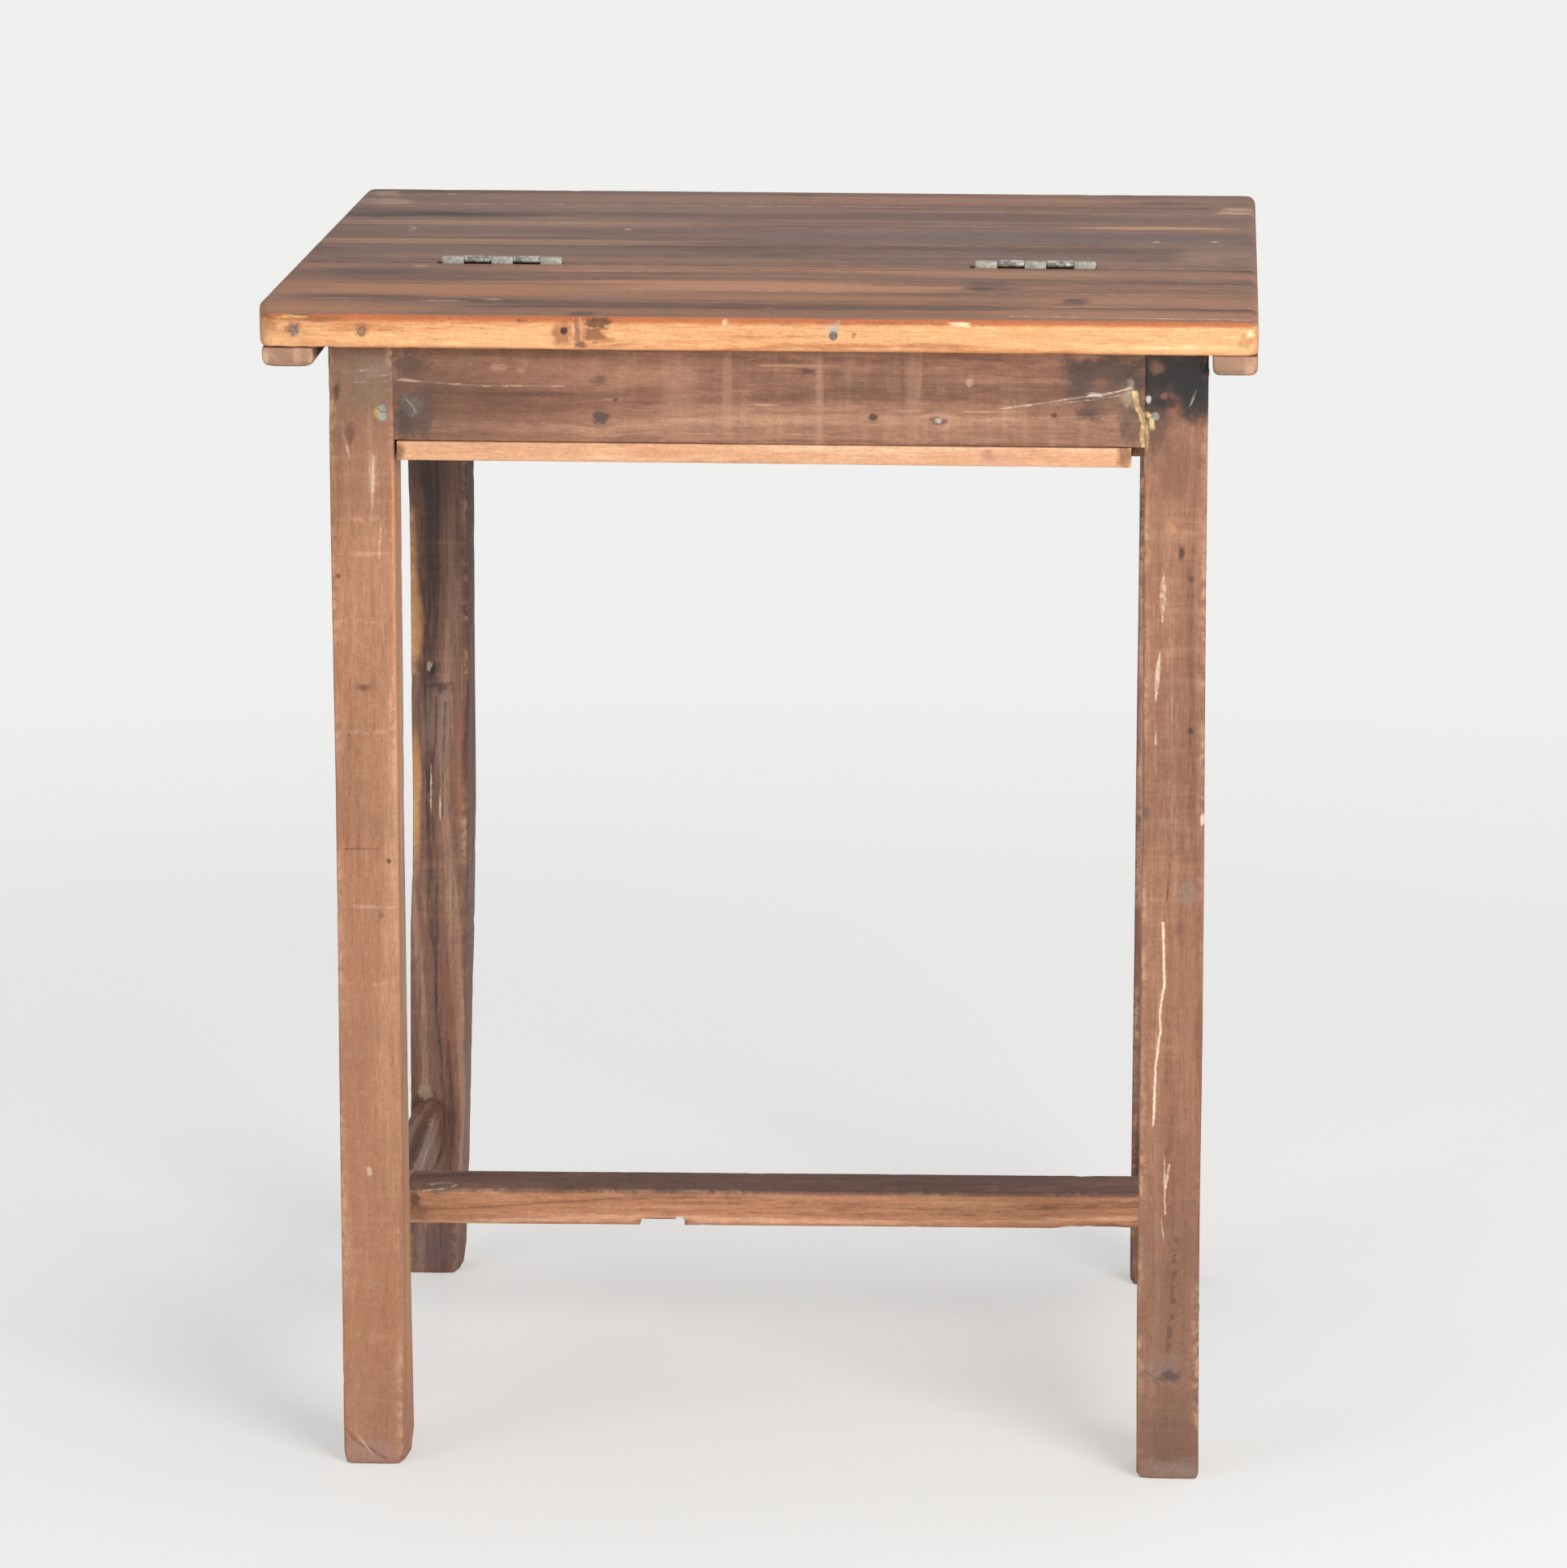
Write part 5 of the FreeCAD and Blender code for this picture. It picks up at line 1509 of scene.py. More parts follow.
        far_streak([(-236, 420), (-235, 380)], 0.8, (160, 132, 118), 0.5, 0.6),
        far_streak([(-250.3, 368), (-250.8, 330)], 0.8, PALE_LINE, 0.7, 0.4),
        far_streak([(-244.4, 349), (-244.6, 325)], 0.8, PALE_LINE, 0.7, 0.4),
        far_spot(-231, 374, (7, 8, 90), (150, 96, 68), 0.4, 1.4, 0.8),
        far_spot(-258, 122, (12, 9, 16), (66, 50, 44), 0.7, 2.0, 0.6),
        far_spot(-257, 133, (7, 8, 7), (158, 138, 110), 0.55, 2.4, 0.5),
        far_spot(-262, 112, (5, 8, 4), (34, 28, 28), 0.85, 2.0, 0.5),
        far_spot(-238, 200, (8, 8, 80), (128, 78, 58), 0.5, 1.4, 0.8),
        far_streak([(-247, 300), (-249, 190), (-245, 150)], 1.2, (58, 42, 40), 0.55, 0.4),
        far_spot(-251, 16, (30, 30, 30), (96, 78, 82), 0.5, 1.2, 0.9),
        # Painted shade: the upper part of this far leg is darkened where the box shades it.
        far_spot(-245, 730, (120, 120, 330), (34, 24, 22), 0.9, 0.5, 1.0),
        far_spot(-245, 570, (60, 60, 160), (34, 24, 22), 0.4, 0.6, 1.0),
    ],
    "leg_front_right": [
        # Painted shade: the upper part of this far leg is darkened where the box shades it.
        far_spot(258, 730, (120, 120, 330), (50, 35, 31), 0.9, 0.5, 1.0),
        far_spot(253, 300, (10, 10, 40), (84, 60, 48), 0.5, 1.4),
    ],
}

# Colours, saw marks, pith and ring width of each leg.
LEG_LOOKS = {
    "leg_back_left": (LEG_ORANGE, 0.34, (0.0, 0.03, -0.09), 0.008),
    "leg_back_right": (LEG_RED, 0.2, (0.0, -0.05, -0.05), 0.006),
    "leg_front_left": (LEG_FAR, 0.15, (0.0, 0.06, 0.03), 0.006),
    "leg_front_right": (LEG_FAR, 0.12, (0.0, -0.06, 0.04), 0.007),
}

# How far the faces of each leg stray along X from a straight stick: heights and shifts in
# millimetres, for its outer face, and for the back and the front arris of its inner face.
TAPER = ((0, -2.5), (655.5, 0))
LEAN = ((0, -4.2), (729, -3.5))
BOW = ((20, 4.0), (120, 3.1), (200, 3.4), (330, 3.0), (430, 3.1), (645, 1.6))
LEG_SHAPES = {
    "leg_back_left": (
        ((0, 0), (450, 0.8), (655, 0)),
        TAPER,
        ((0, 1), (57, 0.7), (133, 0.1), (197, 0), (306, -0.6), (405, -0.75), (655.5, 0)),
    ),
    "leg_back_right": (
        ((0, 3.2), (120, 1.9), (200, 1.8), (300, 1.9), (400, 1.3), (560, 0.3), (655, 0)),
        BOW,
        BOW,
    ),
    "leg_front_left": (
        ((0, -6), (76, -3), (250, -1), (300, 1.0), (340, 1.8), (520, 2.0), (560, 1.4), (660, 1.2)),
        ((30, -11.4), (120, -5.4), (283, -2.3), (333, -1.2), (413, 0.6), (540, 1.5)),
        ((0, -9), (76, -5.7), (194, -2.5), (247, -0.5), (333, 1.5), (413, 1.5), (540, 2.3)),
    ),
    "leg_front_right": (((0, 0), (729, 0)), LEAN, LEAN),
}


def crooked(node):
    """Makes the rule that moves a point of the straight leg to where the crooked one has it."""
    low = corners_of(node)[0]
    outer, inner_back, inner_front = LEG_SHAPES[node]
    left, back = "left" in node, "back" in node

    def moved(point):
        share_x, share_y = (point.x - low.x) / LEG_SIZE, (point.y - low.y) / LEG_SIZE
        height = point.z / MM
        outside = between(outer, height)
        inside = between(inner_back, height) * (1 - share_y) + between(inner_front, height) * share_y
        at_low, at_high = (outside, inside) if left else (inside, outside)
        drawn = (LEG_SIZE - LEG_FOOT_SIZE) * max(0.0, 1 - point.z / BOX_LOW_Z)
        sideways = (at_low * (1 - share_x) + at_high * share_x) * MM
        inwards = -drawn * share_y if back else drawn * (1 - share_y)
        return Vector((point.x + sideways, point.y + inwards, point.z))

    return moved


def on_its_leg(point):
    """Where a nail's head lies once it has moved with the leg that it is driven into."""
    for node in LEG_SHAPES:
        low, high = corners_of(node)
        if all(low[n] - MM < point[n] < high[n] + MM for n in range(3)):
            return crooked(node)(point)
    return point


def leg(node, seed):
    """A leg: crooked, drawn in to the foot and worn there."""
    low, high = corners_of(node)
    outer, inner = (low.copy(), high.copy()) if "left" in node else (high.copy(), low.copy())
    outer.y, inner.y = (low.y, high.y) if "back" in node else (high.y, low.y)
    corners = {"outer": outer, "inner": inner}
    dents = []
    for side_x, side_y, reach, depth in FOOT_DENTS:
        corner = Vector((corners[side_x].x, corners[side_y].y, 0.0))
        dents.append((corner, reach * MM, depth * MM))
    stick = timber(node + "_worn", low, high, 2, seed, (LEG_ARRIS,) * 4, (FOOT_ROUND,) * 4,
                   (LEG_TOP_ROUND,) * 4, spacing=0.006, wobble=0.0005, nick=0.0012, dents=dents,
                   reshape=crooked(node))
    tones, saw, pith, ring_width = LEG_LOOKS[node]
    material = teak(
        "teak of " + node, 2, middle_of(low, high), seed, tones, pith=pith, ring_width=ring_width,
        ring_share=0.4, marks=LEG_MARKS[node], saw=saw, grime=0.26, scratches=0.25,
        worn_share=0.4, roughness=0.55,
    )
    dress(stick, "frame", "leg_wood", material, node)


# How far a rail or an apron reaches into the piece that carries it.
JOINT_REACH = 0.004
PLAIN_END = (0.0006,) * 4
BOARD_ARRIS = 0.0012
SIDE_RAIL_ARRIS = 0.0016
CUT_PAST = 0.005

APRON_MARKS = [
    apron_spot(-190, 700, (110, 12, 60), (92, 64, 52), 0.5, 1.0, 1.0),
    apron_spot(-214, 716, (16, 8, 12), (62, 50, 46), 0.7, 2.0),
    apron_spot(-160, 690, (120, 12, 40), (100, 64, 48), 0.5, 1.2, 1.0),
    apron_spot(-212, 684, (15, 8, 24), (66, 58, 54), 0.75, 2.2, 0.6),
    apron_spot(-214, 690, (8, 8, 10), (124, 120, 112), 0.6, 2.4),
    apron_spot(-219, 680, (9, 8, 24), (62, 52, 48), 0.6, 2.0),
    apron_streak([(-219, 697), (-213, 690), (-209, 682)], 0.6, GREY_SMEAR, 0.5, 0.8),
    apron_spot(-205, 690, (22, 8, 32), (96, 70, 58), 0.5, 1.8, 0.9),
    apron_streak([(-223, 706.6), (-210, 706.0)], 0.9, (206, 188, 170), 0.6, 0.5),
    apron_streak([(-222, 706.0), (-204, 705.2), (-172, 703.1), (-118, 703.3)],
        0.6, (190, 156, 134), 0.55, 0.7),
    apron_spot(-147, 698, (60, 6, 2.2), (84, 56, 44), 0.6, 1.4),
    apron_spot(-97, 707, (8, 6, 4), (80, 54, 44), 0.6, 1.8),
    apron_spot(-159, 714.6, (6, 6, 4), (190, 138, 108), 0.45, 2.4, 0.8),
    apron_spot(-145, 713, (4, 6, 3), (182, 132, 102), 0.4, 2.4, 0.8),
    apron_spot(-96, 684, (6.5, 6, 6), (64, 54, 54), 0.8, 1.6, 0.6),
    apron_spot(-86.6, 695, (2, 4, 1.6), KNOT_BROWN, 0.7, 1.4, 0.5),
    apron_spot(-47, 700, (20, 8, 60), (162, 120, 98), 0.4, 1.0, 0.9),
    apron_spot(-17, 700, (5, 8, 60), (176, 134, 110), 0.35, 1.0, 0.8),
    apron_spot(40, 695, (4, 8, 60), (178, 138, 114), 0.35, 1.0, 0.8),
    apron_spot(73.5, 685.7, (3.8, 5, 3), (60, 42, 38), 0.85, 1.4, 0.5),
    apron_spot(98, 700, (7, 8, 60), (170, 128, 104), 0.35, 1.0, 0.8),
    apron_spot(114, 683.3, (8, 5, 4), (76, 58, 50), 0.7, 1.8, 0.6),
    apron_spot(114, 684, (2.6, 4, 2.4), (168, 164, 158), 0.85, 1.0, 0.5),
    apron_spot(33, 714, (5, 5, 2.4), (72, 48, 40), 0.65, 1.6, 0.6),
    apron_spot(133, 708, (3, 4, 4), (190, 160, 144), 0.5, 2.0, 0.6),
    apron_spot(228, 714, (44, 10, 17), (48, 40, 38), 0.85, 1.8),
    apron_spot(202, 712, (17, 8, 18), (56, 46, 44), 0.8, 1.8),
    apron_spot(206, 700, (20, 8, 5), (58, 48, 46), 0.6, 1.8),
    apron_spot(207, 690, (12, 8, 7), (66, 50, 46), 0.75, 2.0),
    apron_spot(214, 708, (9, 8, 6), (140, 94, 68), 0.6, 1.8, 0.8),
    apron_spot(185, 688, (3, 5, 2.2), KNOT_BROWN, 0.75, 1.4, 0.6),
    apron_spot(234, 690, (11, 8, 28), (60, 50, 46), 0.6, 2.0),
    apron_spot(214, 704, (34, 8, 22), (100, 78, 66), 0.5, 1.6, 0.9),
    apron_streak([(151.7, 691.8), (180.7, 696.1), (203.2, 699.9), (216.7, 701.6), (233.2, 705.8)],
        0.6, (206, 184, 166), 0.65, 0.6),
    apron_streak([(185.7, 695.7), (208.2, 697.9), (234.7, 702.8)], 0.5, (196, 168, 148), 0.5, 0.7),
    apron_spot(211, 701, (7, 4, 2.2), (206, 194, 182), 0.6, 2.4, 0.8),
    apron_spot(231, 701, (6, 5, 12), (172, 158, 130), 0.5, 2.4, 0.9),
    # Painted shadow of the top's overhang along the apron's upper edge.
    apron_spot(3, 730, (260, 12, 7), (70, 50, 42), 0.5, 0.8, 0.9),
    *GLUE_MARKS,
]
APRON_KNOTS = [((-96, -259.5, 684), (16, 20, 9)), ((114, -259.5, 683), (12, 20, 7))]

FLOOR_MARKS = [
    apron_spot(145, 662, (6, 5, 5), (150, 98, 76), 0.75, 1.2),
    apron_spot(149, 660, (14, 5, 6), (196, 146, 122), 0.5, 1.2),
    apron_spot(229, 662, (7, 5, 8), (170, 118, 76), 0.7, 1.6, 0.5),
    apron_spot(-221, 662, (4, 5, 7), (150, 104, 70), 0.6, 1.6, 0.5),
    apron_spot(-57, 662, (30, 5, 5), (190, 128, 92), 0.5, 1.2, 0.8),
    apron_spot(-223, 660, (5, 6, 8), (110, 80, 56), 0.7, 2.0, 0.6),
    apron_spot(229, 664, (5, 6, 9), (120, 86, 60), 0.7, 2.0, 0.6),
]


def apron(node, grain, seed, marks=(), knots=(), saw=0.1):
    """An apron between two legs, its ends let in a little."""
    low, high = corners_of(node)
    near_leg = corners_of("leg_back_left")[1]
    far_leg = corners_of("leg_front_right")[0]
    if grain == 0:
        low.x, high.x = near_leg.x - JOINT_REACH, far_leg.x + JOINT_REACH
    else:
        low.y, high.y = near_leg.y - JOINT_REACH, far_leg.y + JOINT_REACH
    board = timber(node + "_planed", low, high, grain, seed, (BOARD_ARRIS,) * 4, PLAIN_END, PLAIN_END,
                   wobble=0.0005, nick=0.0010)
    material = teak(
        "teak of " + node, grain, middle_of(low, high), seed, APRON_BROWN, pith=(0.3, -0.045, 0.012),
        ring_width=0.005, ring_share=0.55, marks=marks, knots=knots, saw=saw, grime=0.38,
        scratches=0.3, worn=ORANGE_WEAR, worn_share=0.3, roughness=0.55,
    )
    dress(board, "frame", "apron_wood", material, node)


# The play between a leg and the notch round it.
FLOOR_NOTCH_LEFT = 0.0015
FLOOR_NOTCH_RIGHT = 0.0065
FLOOR_NOTCH_DEEP = 0.0015


def floor_board(number, seed):
    """One board of the box's floor; the outer ones are notched round the legs."""
    node = "floor_board_%d" % number
    low, high = corners_of(node)
    board = timber(node + "_sawn", low, high, 0, seed, (BOARD_ARRIS,) * 4, PLAIN_END, PLAIN_END,
                   wobble=0.0003, nick=0.0012)
    notches = []
    for end, name in ((-1, "leg_back_%s"), (1, "leg_front_%s")):
        for side, gap in (("left", FLOOR_NOTCH_LEFT), ("right", FLOOR_NOTCH_RIGHT)):
            leg_low, leg_high = corners_of(name % side)
            reach = leg_high.y + FLOOR_NOTCH_DEEP if end < 0 else leg_low.y - FLOOR_NOTCH_DEEP
            meets = low.y < reach if end < 0 else high.y > reach
            if not meets:
                continue
            notch_low = [n - CUT_PAST for n in low]
            notch_high = [n + CUT_PAST for n in high]
            if side == "left":
                notch_high[0] = leg_high.x + gap
            else:
                notch_low[0] = leg_low.x - gap
            if end < 0:
                notch_high[1] = reach
            else:
                notch_low[1] = reach
            notches.append((notch_low, notch_high))
    if notches:
        cut_away(board, notches)
    material = teak(
        "teak of " + node, 0, middle_of(low, high), seed, FLOOR_PALE, pith=(0.0, 0.08, 0.05),
        ring_width=0.006, ring_share=0.4, marks=FLOOR_MARKS if number == 1 else (), saw=0.15,
        grime=0.1 if number == 1 else 0.3, scratches=0.2, worn_share=0.35, roughness=0.6,
    )
    dress(board, "frame", "floor_wood", material, node)


# The left rail's inner side and upper arris show past the back leg.
RAIL_MARKS = {
    "left": [
        spot((-246, 20, 118), (5, 130, 14), (150, 122, 116), 0.6, 1.1, 0.8),
        streak([(-246, 20, 112), (-246, 90, 118)], 0.8, PALE_LINE, 0.7, 0.4, ON_INNER_SIDE),
        spot((-252, 0, 126.5), (9, 170, 2.2), (72, 50, 44), 0.6, 0.8),
    ],
    "right": [],
}


def side_rail(side, seed):
    """A low rail between a back leg and a front leg."""
    node = "side_rail_" + side
    low, high = corners_of(node)
    low.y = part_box("leg_back_" + side)[1][1] - JOINT_REACH
    high.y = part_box("leg_front_" + side)[0][1] + JOINT_REACH
    rail = timber(node + "_worn", low, high, 1, seed, (SIDE_RAIL_ARRIS,) * 4, PLAIN_END,
                  PLAIN_END, wobble=0.0006, nick=0.0014)
    material = teak(
        "teak of " + node, 1, middle_of(low, high), seed, LEG_FAR, pith=(0.0, 0.05, 0.04),
        ring_width=0.006, marks=RAIL_MARKS[side], saw=0.15, grime=0.35, scratches=0.3,
        worn_share=0.45, roughness=0.55,
    )
    dress(rail, "frame", "rail_wood", material, node)


# The old housing in the rail's lower edge, and how far the rail's ends sag and rise.
NOTCH_X = (-0.0903, -0.0603)
NOTCH_HEIGHT = 0.0047
NOTCH_STEP = 0.006
STEP_RISE = 0.0015
RAIL_DROP = 0.0018
RAIL_RISE = 0.0026
RAIL_ARRISES = (0.0022, 0.0018, 0.0018, 0.0018)

# A bark pocket at the left end and a splintered lower arris at the right end.
RAIL_DENTS = (
    (-235, 127, 16, 2.4), (-219, 127, 12, 1.4), (199, 101, 16, 1.6), (217, 101, 18, 2.2),
    (235, 101, 14, 1.4),
)
CROSS_MARKS = [
    spot((-228, -48, 126), (18, 14, 5), (108, 86, 70), 0.75, 2.0, 0.6),
    streak([(-236, -54, 124), (-228, -53, 126), (-218, -50, 126.5), (-213, -45, 126.5)],
        0.9, (204, 190, 170), 0.75, 0.5, OVER_THE_ARRIS),
    streak([(-213, -45, 126.5), (-222, -40, 126.5), (-232, -44, 126)],
        0.8, (190, 172, 150), 0.6, 0.5, OVER_THE_ARRIS),
    rail_spot(-241, 118, (5, 8, 9), (60, 46, 38), 0.7, 1.8, 0.6),
    rail_spot(-74, 104, (26, 8, 7), (112, 66, 46), 0.6, 1.6, 0.8),
    rail_spot(-75, 105, (19, 8, 2.6), (58, 36, 30), 0.8, 1.2, 0.6),
    rail_spot(-238, 110, (8, 8, 9), (110, 78, 60), 0.5, 1.4, 0.8),
    rail_streak([(-238.1, 110.5), (-105.7, 120.1)], 0.8, (124, 78, 56), 0.65, 0.3),
    rail_streak([(-60, 112), (40, 116), (150, 113)], 0.7, (136, 88, 62), 0.5, 0.5),
    rail_spot(218, 103, (30, 10, 3.4), (96, 64, 48), 0.6, 1.8, 0.5),
    rail_spot(43, 114, (14, 6, 3), (130, 84, 60), 0.5, 1.3),
    rail_spot(120, 118, (60, 6, 4), (214, 160, 122), 0.4, 1.6, 0.8),
]


def cross_rail(seed):
    """The flat rail between the side rails: an old lath with a bark edge and an old housing."""
    node = "cross_rail"
    low, high = corners_of(node)
    low.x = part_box("side_rail_left")[1][0] - JOINT_REACH
    high.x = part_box("side_rail_right")[0][0] + JOINT_REACH
    rail = timber(node + "_hewn", low, high, 0, seed, RAIL_ARRISES, PLAIN_END, PLAIN_END,
                  spacing=0.005, wobble=0.0004, nick=0.0010, dents=dents_in(-54, RAIL_DENTS))
    near, far = low.y - 2 * CUT_PAST, high.y + 2 * CUT_PAST
    housing_low = (NOTCH_X[0], near, low.z - 2 * CUT_PAST)
    housing_high = (NOTCH_X[1], far, low.z + NOTCH_HEIGHT)
    step_low = (NOTCH_X[1] - NOTCH_STEP, near, low.z)
    step_high = (NOTCH_X[1] - MM, far, low.z + NOTCH_HEIGHT + STEP_RISE)
    cut_away(rail, [(housing_low, housing_high), (step_low, step_high)])
    # The rail isn't level: its left end sags and its right end sits a little high in its mortise.
    tilt = Matrix.Rotation(-(RAIL_RISE + RAIL_DROP) / (high.x - low.x), 4, "Y")
    pivot = Matrix.Translation((low.x, 0.0, low.z))
    sag = Matrix.Translation((0.0, 0.0, -RAIL_DROP))
    rail.matrix_world = sag @ pivot @ tilt @ pivot.inverted()
    material = teak(
        "teak of cross rail", 0, middle_of(low, high), seed, RAIL_ORANGE, skin=RAIL_TOP,
        skin_from=(high.z - SKIN_DEEP, high.z - SKIN_FULL), pith=(0.0, -0.03, -0.05), ring_width=0.005,
        ring_share=0.5, marks=CROSS_MARKS, saw=0.1, grime=0.15, scratches=0.3, worn_share=0.3,
        roughness=0.55,
    )
    dress(rail, "frame", "rail_wood", material, node)


CLEAT_ARRISES = (0.0045, 0.0045, 0.0012, 0.0012)
CLEAT_END = (0.0015, 0.0015, 0.006, 0.0008)

# Wear on the back ends of the cleats.
CLEAT_MARKS = {
    "fixed_cleat_left": [
        cleat_spot(-303, 722, (5, 8, 9), (206, 172, 140), 0.7, 1.8, 0.8),
        cleat_spot(-291, 722, (5, 8, 12), (116, 84, 68), 0.6, 1.4, 0.9),
        cleat_spot(-282, 724, (4, 8, 10), (196, 158, 128), 0.5, 1.6, 0.9),
        cleat_spot(-272, 721, (5, 10, 9), (208, 160, 116), 0.7, 1.6, 0.8),
        cleat_streak([(-302, 718.5), (-272, 717.6)], 0.9, (214, 180, 148), 0.6, 0.6),
    ],
    "fixed_cleat_right": [
        cleat_spot(296, 724, (22, 8, 14), (120, 92, 76), 0.45, 1.4, 0.9),
        cleat_spot(290, 724, (8, 8, 9), (104, 78, 64), 0.6, 1.8, 0.9),
        cleat_spot(305, 721, (6, 10, 9), (204, 162, 128), 0.6, 1.8, 0.8),
        cleat_streak([(285, 717.6), (306, 718)], 0.9, (206, 172, 140), 0.5, 0.6),
    ],
}


def cleat(node, body, seed):
    """A cleat under an end of the top, its lower arrises and ends rounded by wear."""
    low, high = corners_of(node)
    bar = timber(node + "_worn", low, high, 1, seed, CLEAT_ARRISES, CLEAT_END, CLEAT_END,
                 spacing=0.005, wobble=0.0004, nick=0.0014)
    material = teak(
        "teak of " + node, 1, middle_of(low, high), seed, CLEAT_BROWN, pith=(0.0, 0.02, 0.03),
        ring_width=0.004, ring_share=0.5, saw=0.1, grime=0.3, scratches=0.3, worn_share=0.55,
        roughness=0.6, marks=CLEAT_MARKS.get(node, ()), end_tint=CLEAT_END_GRAIN,
    )
    dress(bar, body, "cleat_wood", material, node)


# Making the desk

top_board("fixed_top_edge_strip", "frame", 1.3, (0.0, -0.02, -0.055), 0.0075)
top_board("fixed_top_board_1", "frame", 2.9, (0.0, 0.03, -0.16), 0.012)
top_board("fixed_top_board_2", "frame", 4.1, (0.0, -0.05, -0.14), 0.011)
top_board("lid_board_1", "lid", 5.7, (0.0, 0.02, -0.2), 0.013)
top_board("lid_board_2", "lid", 6.9, (0.0, 0.06, -0.18), 0.012)
top_board("lid_board_3", "lid", 8.3, (0.0, -0.04, -0.15), 0.012)
top_board("lid_board_4", "lid", 9.7, (0.0, 0.05, -0.17), 0.012)

for hinge_side in HINGE_SIDES:
    hinge_leaf(hinge_side, -1, "hinge_%s_fixed_leaf" % hinge_side, "frame")
    hinge_leaf(hinge_side, 1, "hinge_%s_lid_leaf" % hinge_side, "lid")
    hinge_pin(hinge_side)
screw_heads("fixed_leaf_screws", "frame")
screw_heads("lid_leaf_screws", "lid")

for number, leg_node in enumerate(LEG_LOOKS):
    leg(leg_node, 11.3 + 1.9 * number)
apron("apron_back", 0, 21.7, APRON_MARKS, APRON_KNOTS, saw=0.22)
apron("apron_front", 0, 23.1)
apron("apron_left", 1, 24.9)
apron("apron_right", 1, 26.3)
for number in (1, 2, 3, 4):
    floor_board(number, 30.1 + 1.7 * number)
side_rail("left", 41.3)
side_rail("right", 43.9)
cross_rail(46.1)
cleat("fixed_cleat_left", "frame", 51.7)
cleat("fixed_cleat_right", "frame", 53.3)
cleat("lid_cleat_left", "lid", 55.1)
cleat("lid_cleat_right", "lid", 57.9)

nail_heads("edge_nails", proud=-0.0002)
nail_heads("joint_nails", ZINC_NAIL)
nail_heads("floor_nails")
nail_heads("fixed_cleat_nails")
nail_heads("lid_cleat_nails", body="lid")
nail_heads("fixed_top_nails")

# Floor, light and camera

FLOOR_WHITE = (244, 243, 241)
BACKDROP_WHITE = (240, 240, 239)
FLOOR_REACH = 40.0
SURROUND_TINT = (0.94, 0.97, 1.0, 1.0)
SURROUND_STRENGTH = 0.42
LIT_MIDDLE = Vector((0, 0, 0.5))

# The floor shows a share of the backdrop's white everywhere, and all of it from the second of
# these distances on.
FLOOR_FADE = (0.4, 2.4)
FLOOR_GLOW = 0.45


def floor_material():
    """The pale matt floor of the studio, which runs out into the white backdrop."""
    material, tree = new_material("studio floor")
    here = add(tree, "ShaderNodeTexCoord", {}).outputs["Object"]
    uneven = clouds(tree, here, (1.5, 1.5, 1.5), 3.0, 0.5)
    shade = plus(tree, times(tree, uneven, 0.02), 0.98)
    paint = add(tree, "ShaderNodeBsdfPrincipled", {
        "Base Color": mixed(tree, 1.0, colour(*FLOOR_WHITE), shade, "MULTIPLY"), "Roughness": 0.85,
    })
    backdrop = add(tree, "ShaderNodeEmission", {"Color": colour(*BACKDROP_WHITE), "Strength": 1.0})
    path = tree.nodes.new("ShaderNodeLightPath")
    away = measure(tree, "LENGTH", here)
    white = times(tree, fade(tree, away, *FLOOR_FADE), 1 - FLOOR_GLOW)
    white = plus(tree, white, FLOOR_GLOW)
    share = times(tree, white, path.outputs["Is Camera Ray"])
    shaders = {0: share, 1: paint.outputs[0], 2: backdrop.outputs[0]}
    give_surface(tree, add(tree, "ShaderNodeMixShader", shaders))
    return material


def studio_floor():
    """A wide pale floor under the desk."""
    half = FLOOR_REACH
    corners = [Vector((x * half, y * half, 0)) for x, y in ((-1, -1), (1, -1), (1, 1), (-1, 1))]
    floor = finished_mesh("studio_floor", corners, [(0, 1, 2, 3)], smooth=False)
    floor.data.materials.append(floor_material())


def area_light(name, position, size, power, tint=(1.0, 1.0, 1.0)):
    """A soft square lamp that faces the middle of the desk."""
    lamp = bpy.data.lights.new(name, "AREA")
    lamp.shape = "SQUARE"
    lamp.size = size
    lamp.energy = power
    lamp.color = tint
    holder = bpy.data.objects.new(name, lamp)
    holder.location = position
    holder.rotation_mode = "QUATERNION"
    holder.rotation_quaternion = (LIT_MIDDLE - Vector(position)).to_track_quat("-Z", "Y")
    bpy.context.collection.objects.link(holder)


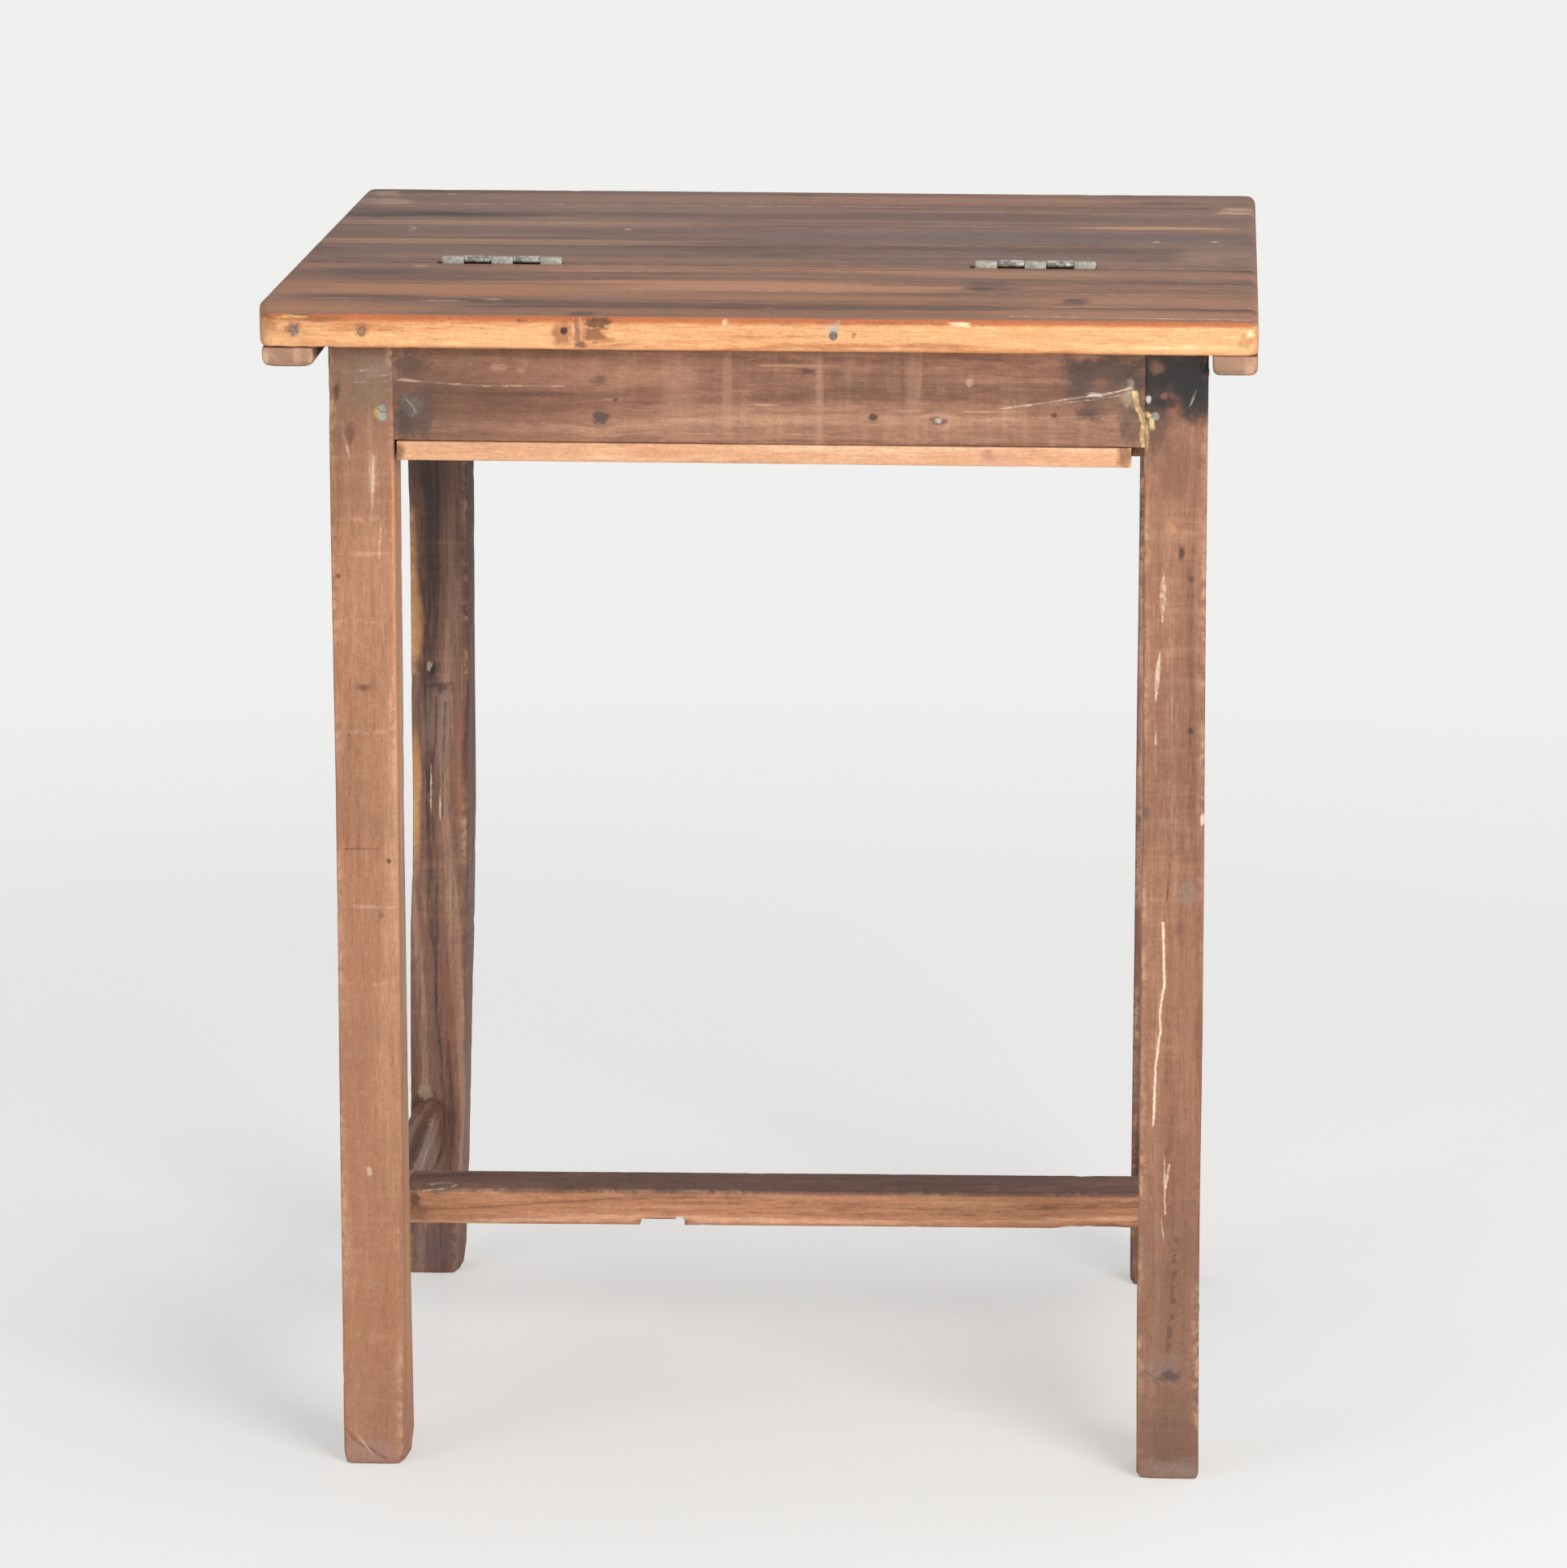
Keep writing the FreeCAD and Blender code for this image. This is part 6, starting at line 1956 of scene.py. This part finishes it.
def studio_light():
    """A large soft key from the right of the back, a fill and a white surround."""
    area_light("key", (1.7, -2.6, 1.55), size=1.5, power=84.0, tint=(1.0, 0.98, 0.95))
    area_light("fill", (-2.3, -2.4, 1.1), size=1.8, power=34.0, tint=(0.98, 0.99, 1.0))
    area_light("overhead", (0.2, 0.5, 2.9), size=2.0, power=22.0)
    world = bpy.data.worlds.new("studio")
    bpy.context.scene.world = world
    world.use_nodes = True
    tree = world.node_tree
    tree.nodes.clear()
    path = tree.nodes.new("ShaderNodeLightPath")
    seen = add(tree, "ShaderNodeBackground", {"Color": colour(*BACKDROP_WHITE), "Strength": 1.0})
    around = add(tree, "ShaderNodeBackground", {"Color": SURROUND_TINT, "Strength": SURROUND_STRENGTH})
    blend = add(tree, "ShaderNodeMixShader", {0: path.outputs["Is Camera Ray"]})
    tree.links.new(around.outputs[0], blend.inputs[1])
    tree.links.new(seen.outputs[0], blend.inputs[2])
    target = tree.nodes.new("ShaderNodeOutputWorld")
    tree.links.new(blend.outputs[0], target.inputs["Surface"])


CAMERA_MM = (265.29, -4464.76, 1420.38)
CAMERA_YAW = -3.367
CAMERA_PITCH = 12.942
CAMERA_LENS = 158.385
CAMERA_SENSOR = 36.0
CAMERA_SEES = (0.1, 200)


def photo_camera():
    """The camera where the photograph was taken from."""
    yaw, pitch = math.radians(CAMERA_YAW), math.radians(CAMERA_PITCH)
    ahead = Vector((math.sin(yaw) * math.cos(pitch), math.cos(yaw) * math.cos(pitch), -math.sin(pitch)))
    right = Vector((math.cos(yaw), -math.sin(yaw), 0))
    up = right.cross(ahead)
    lens = bpy.data.cameras.new("photo_camera")
    lens.sensor_width = CAMERA_SENSOR
    lens.lens = CAMERA_LENS
    lens.clip_start, lens.clip_end = CAMERA_SEES
    camera = bpy.data.objects.new("photo_camera", lens)
    turned = Matrix((right, up, -ahead)).transposed().to_4x4()
    camera.matrix_world = Matrix.Translation(mm(*CAMERA_MM)) @ turned
    bpy.context.collection.objects.link(camera)
    bpy.context.scene.camera = camera


studio_floor()
studio_light()
photo_camera()
bpy.context.scene.view_settings.view_transform = "Standard"
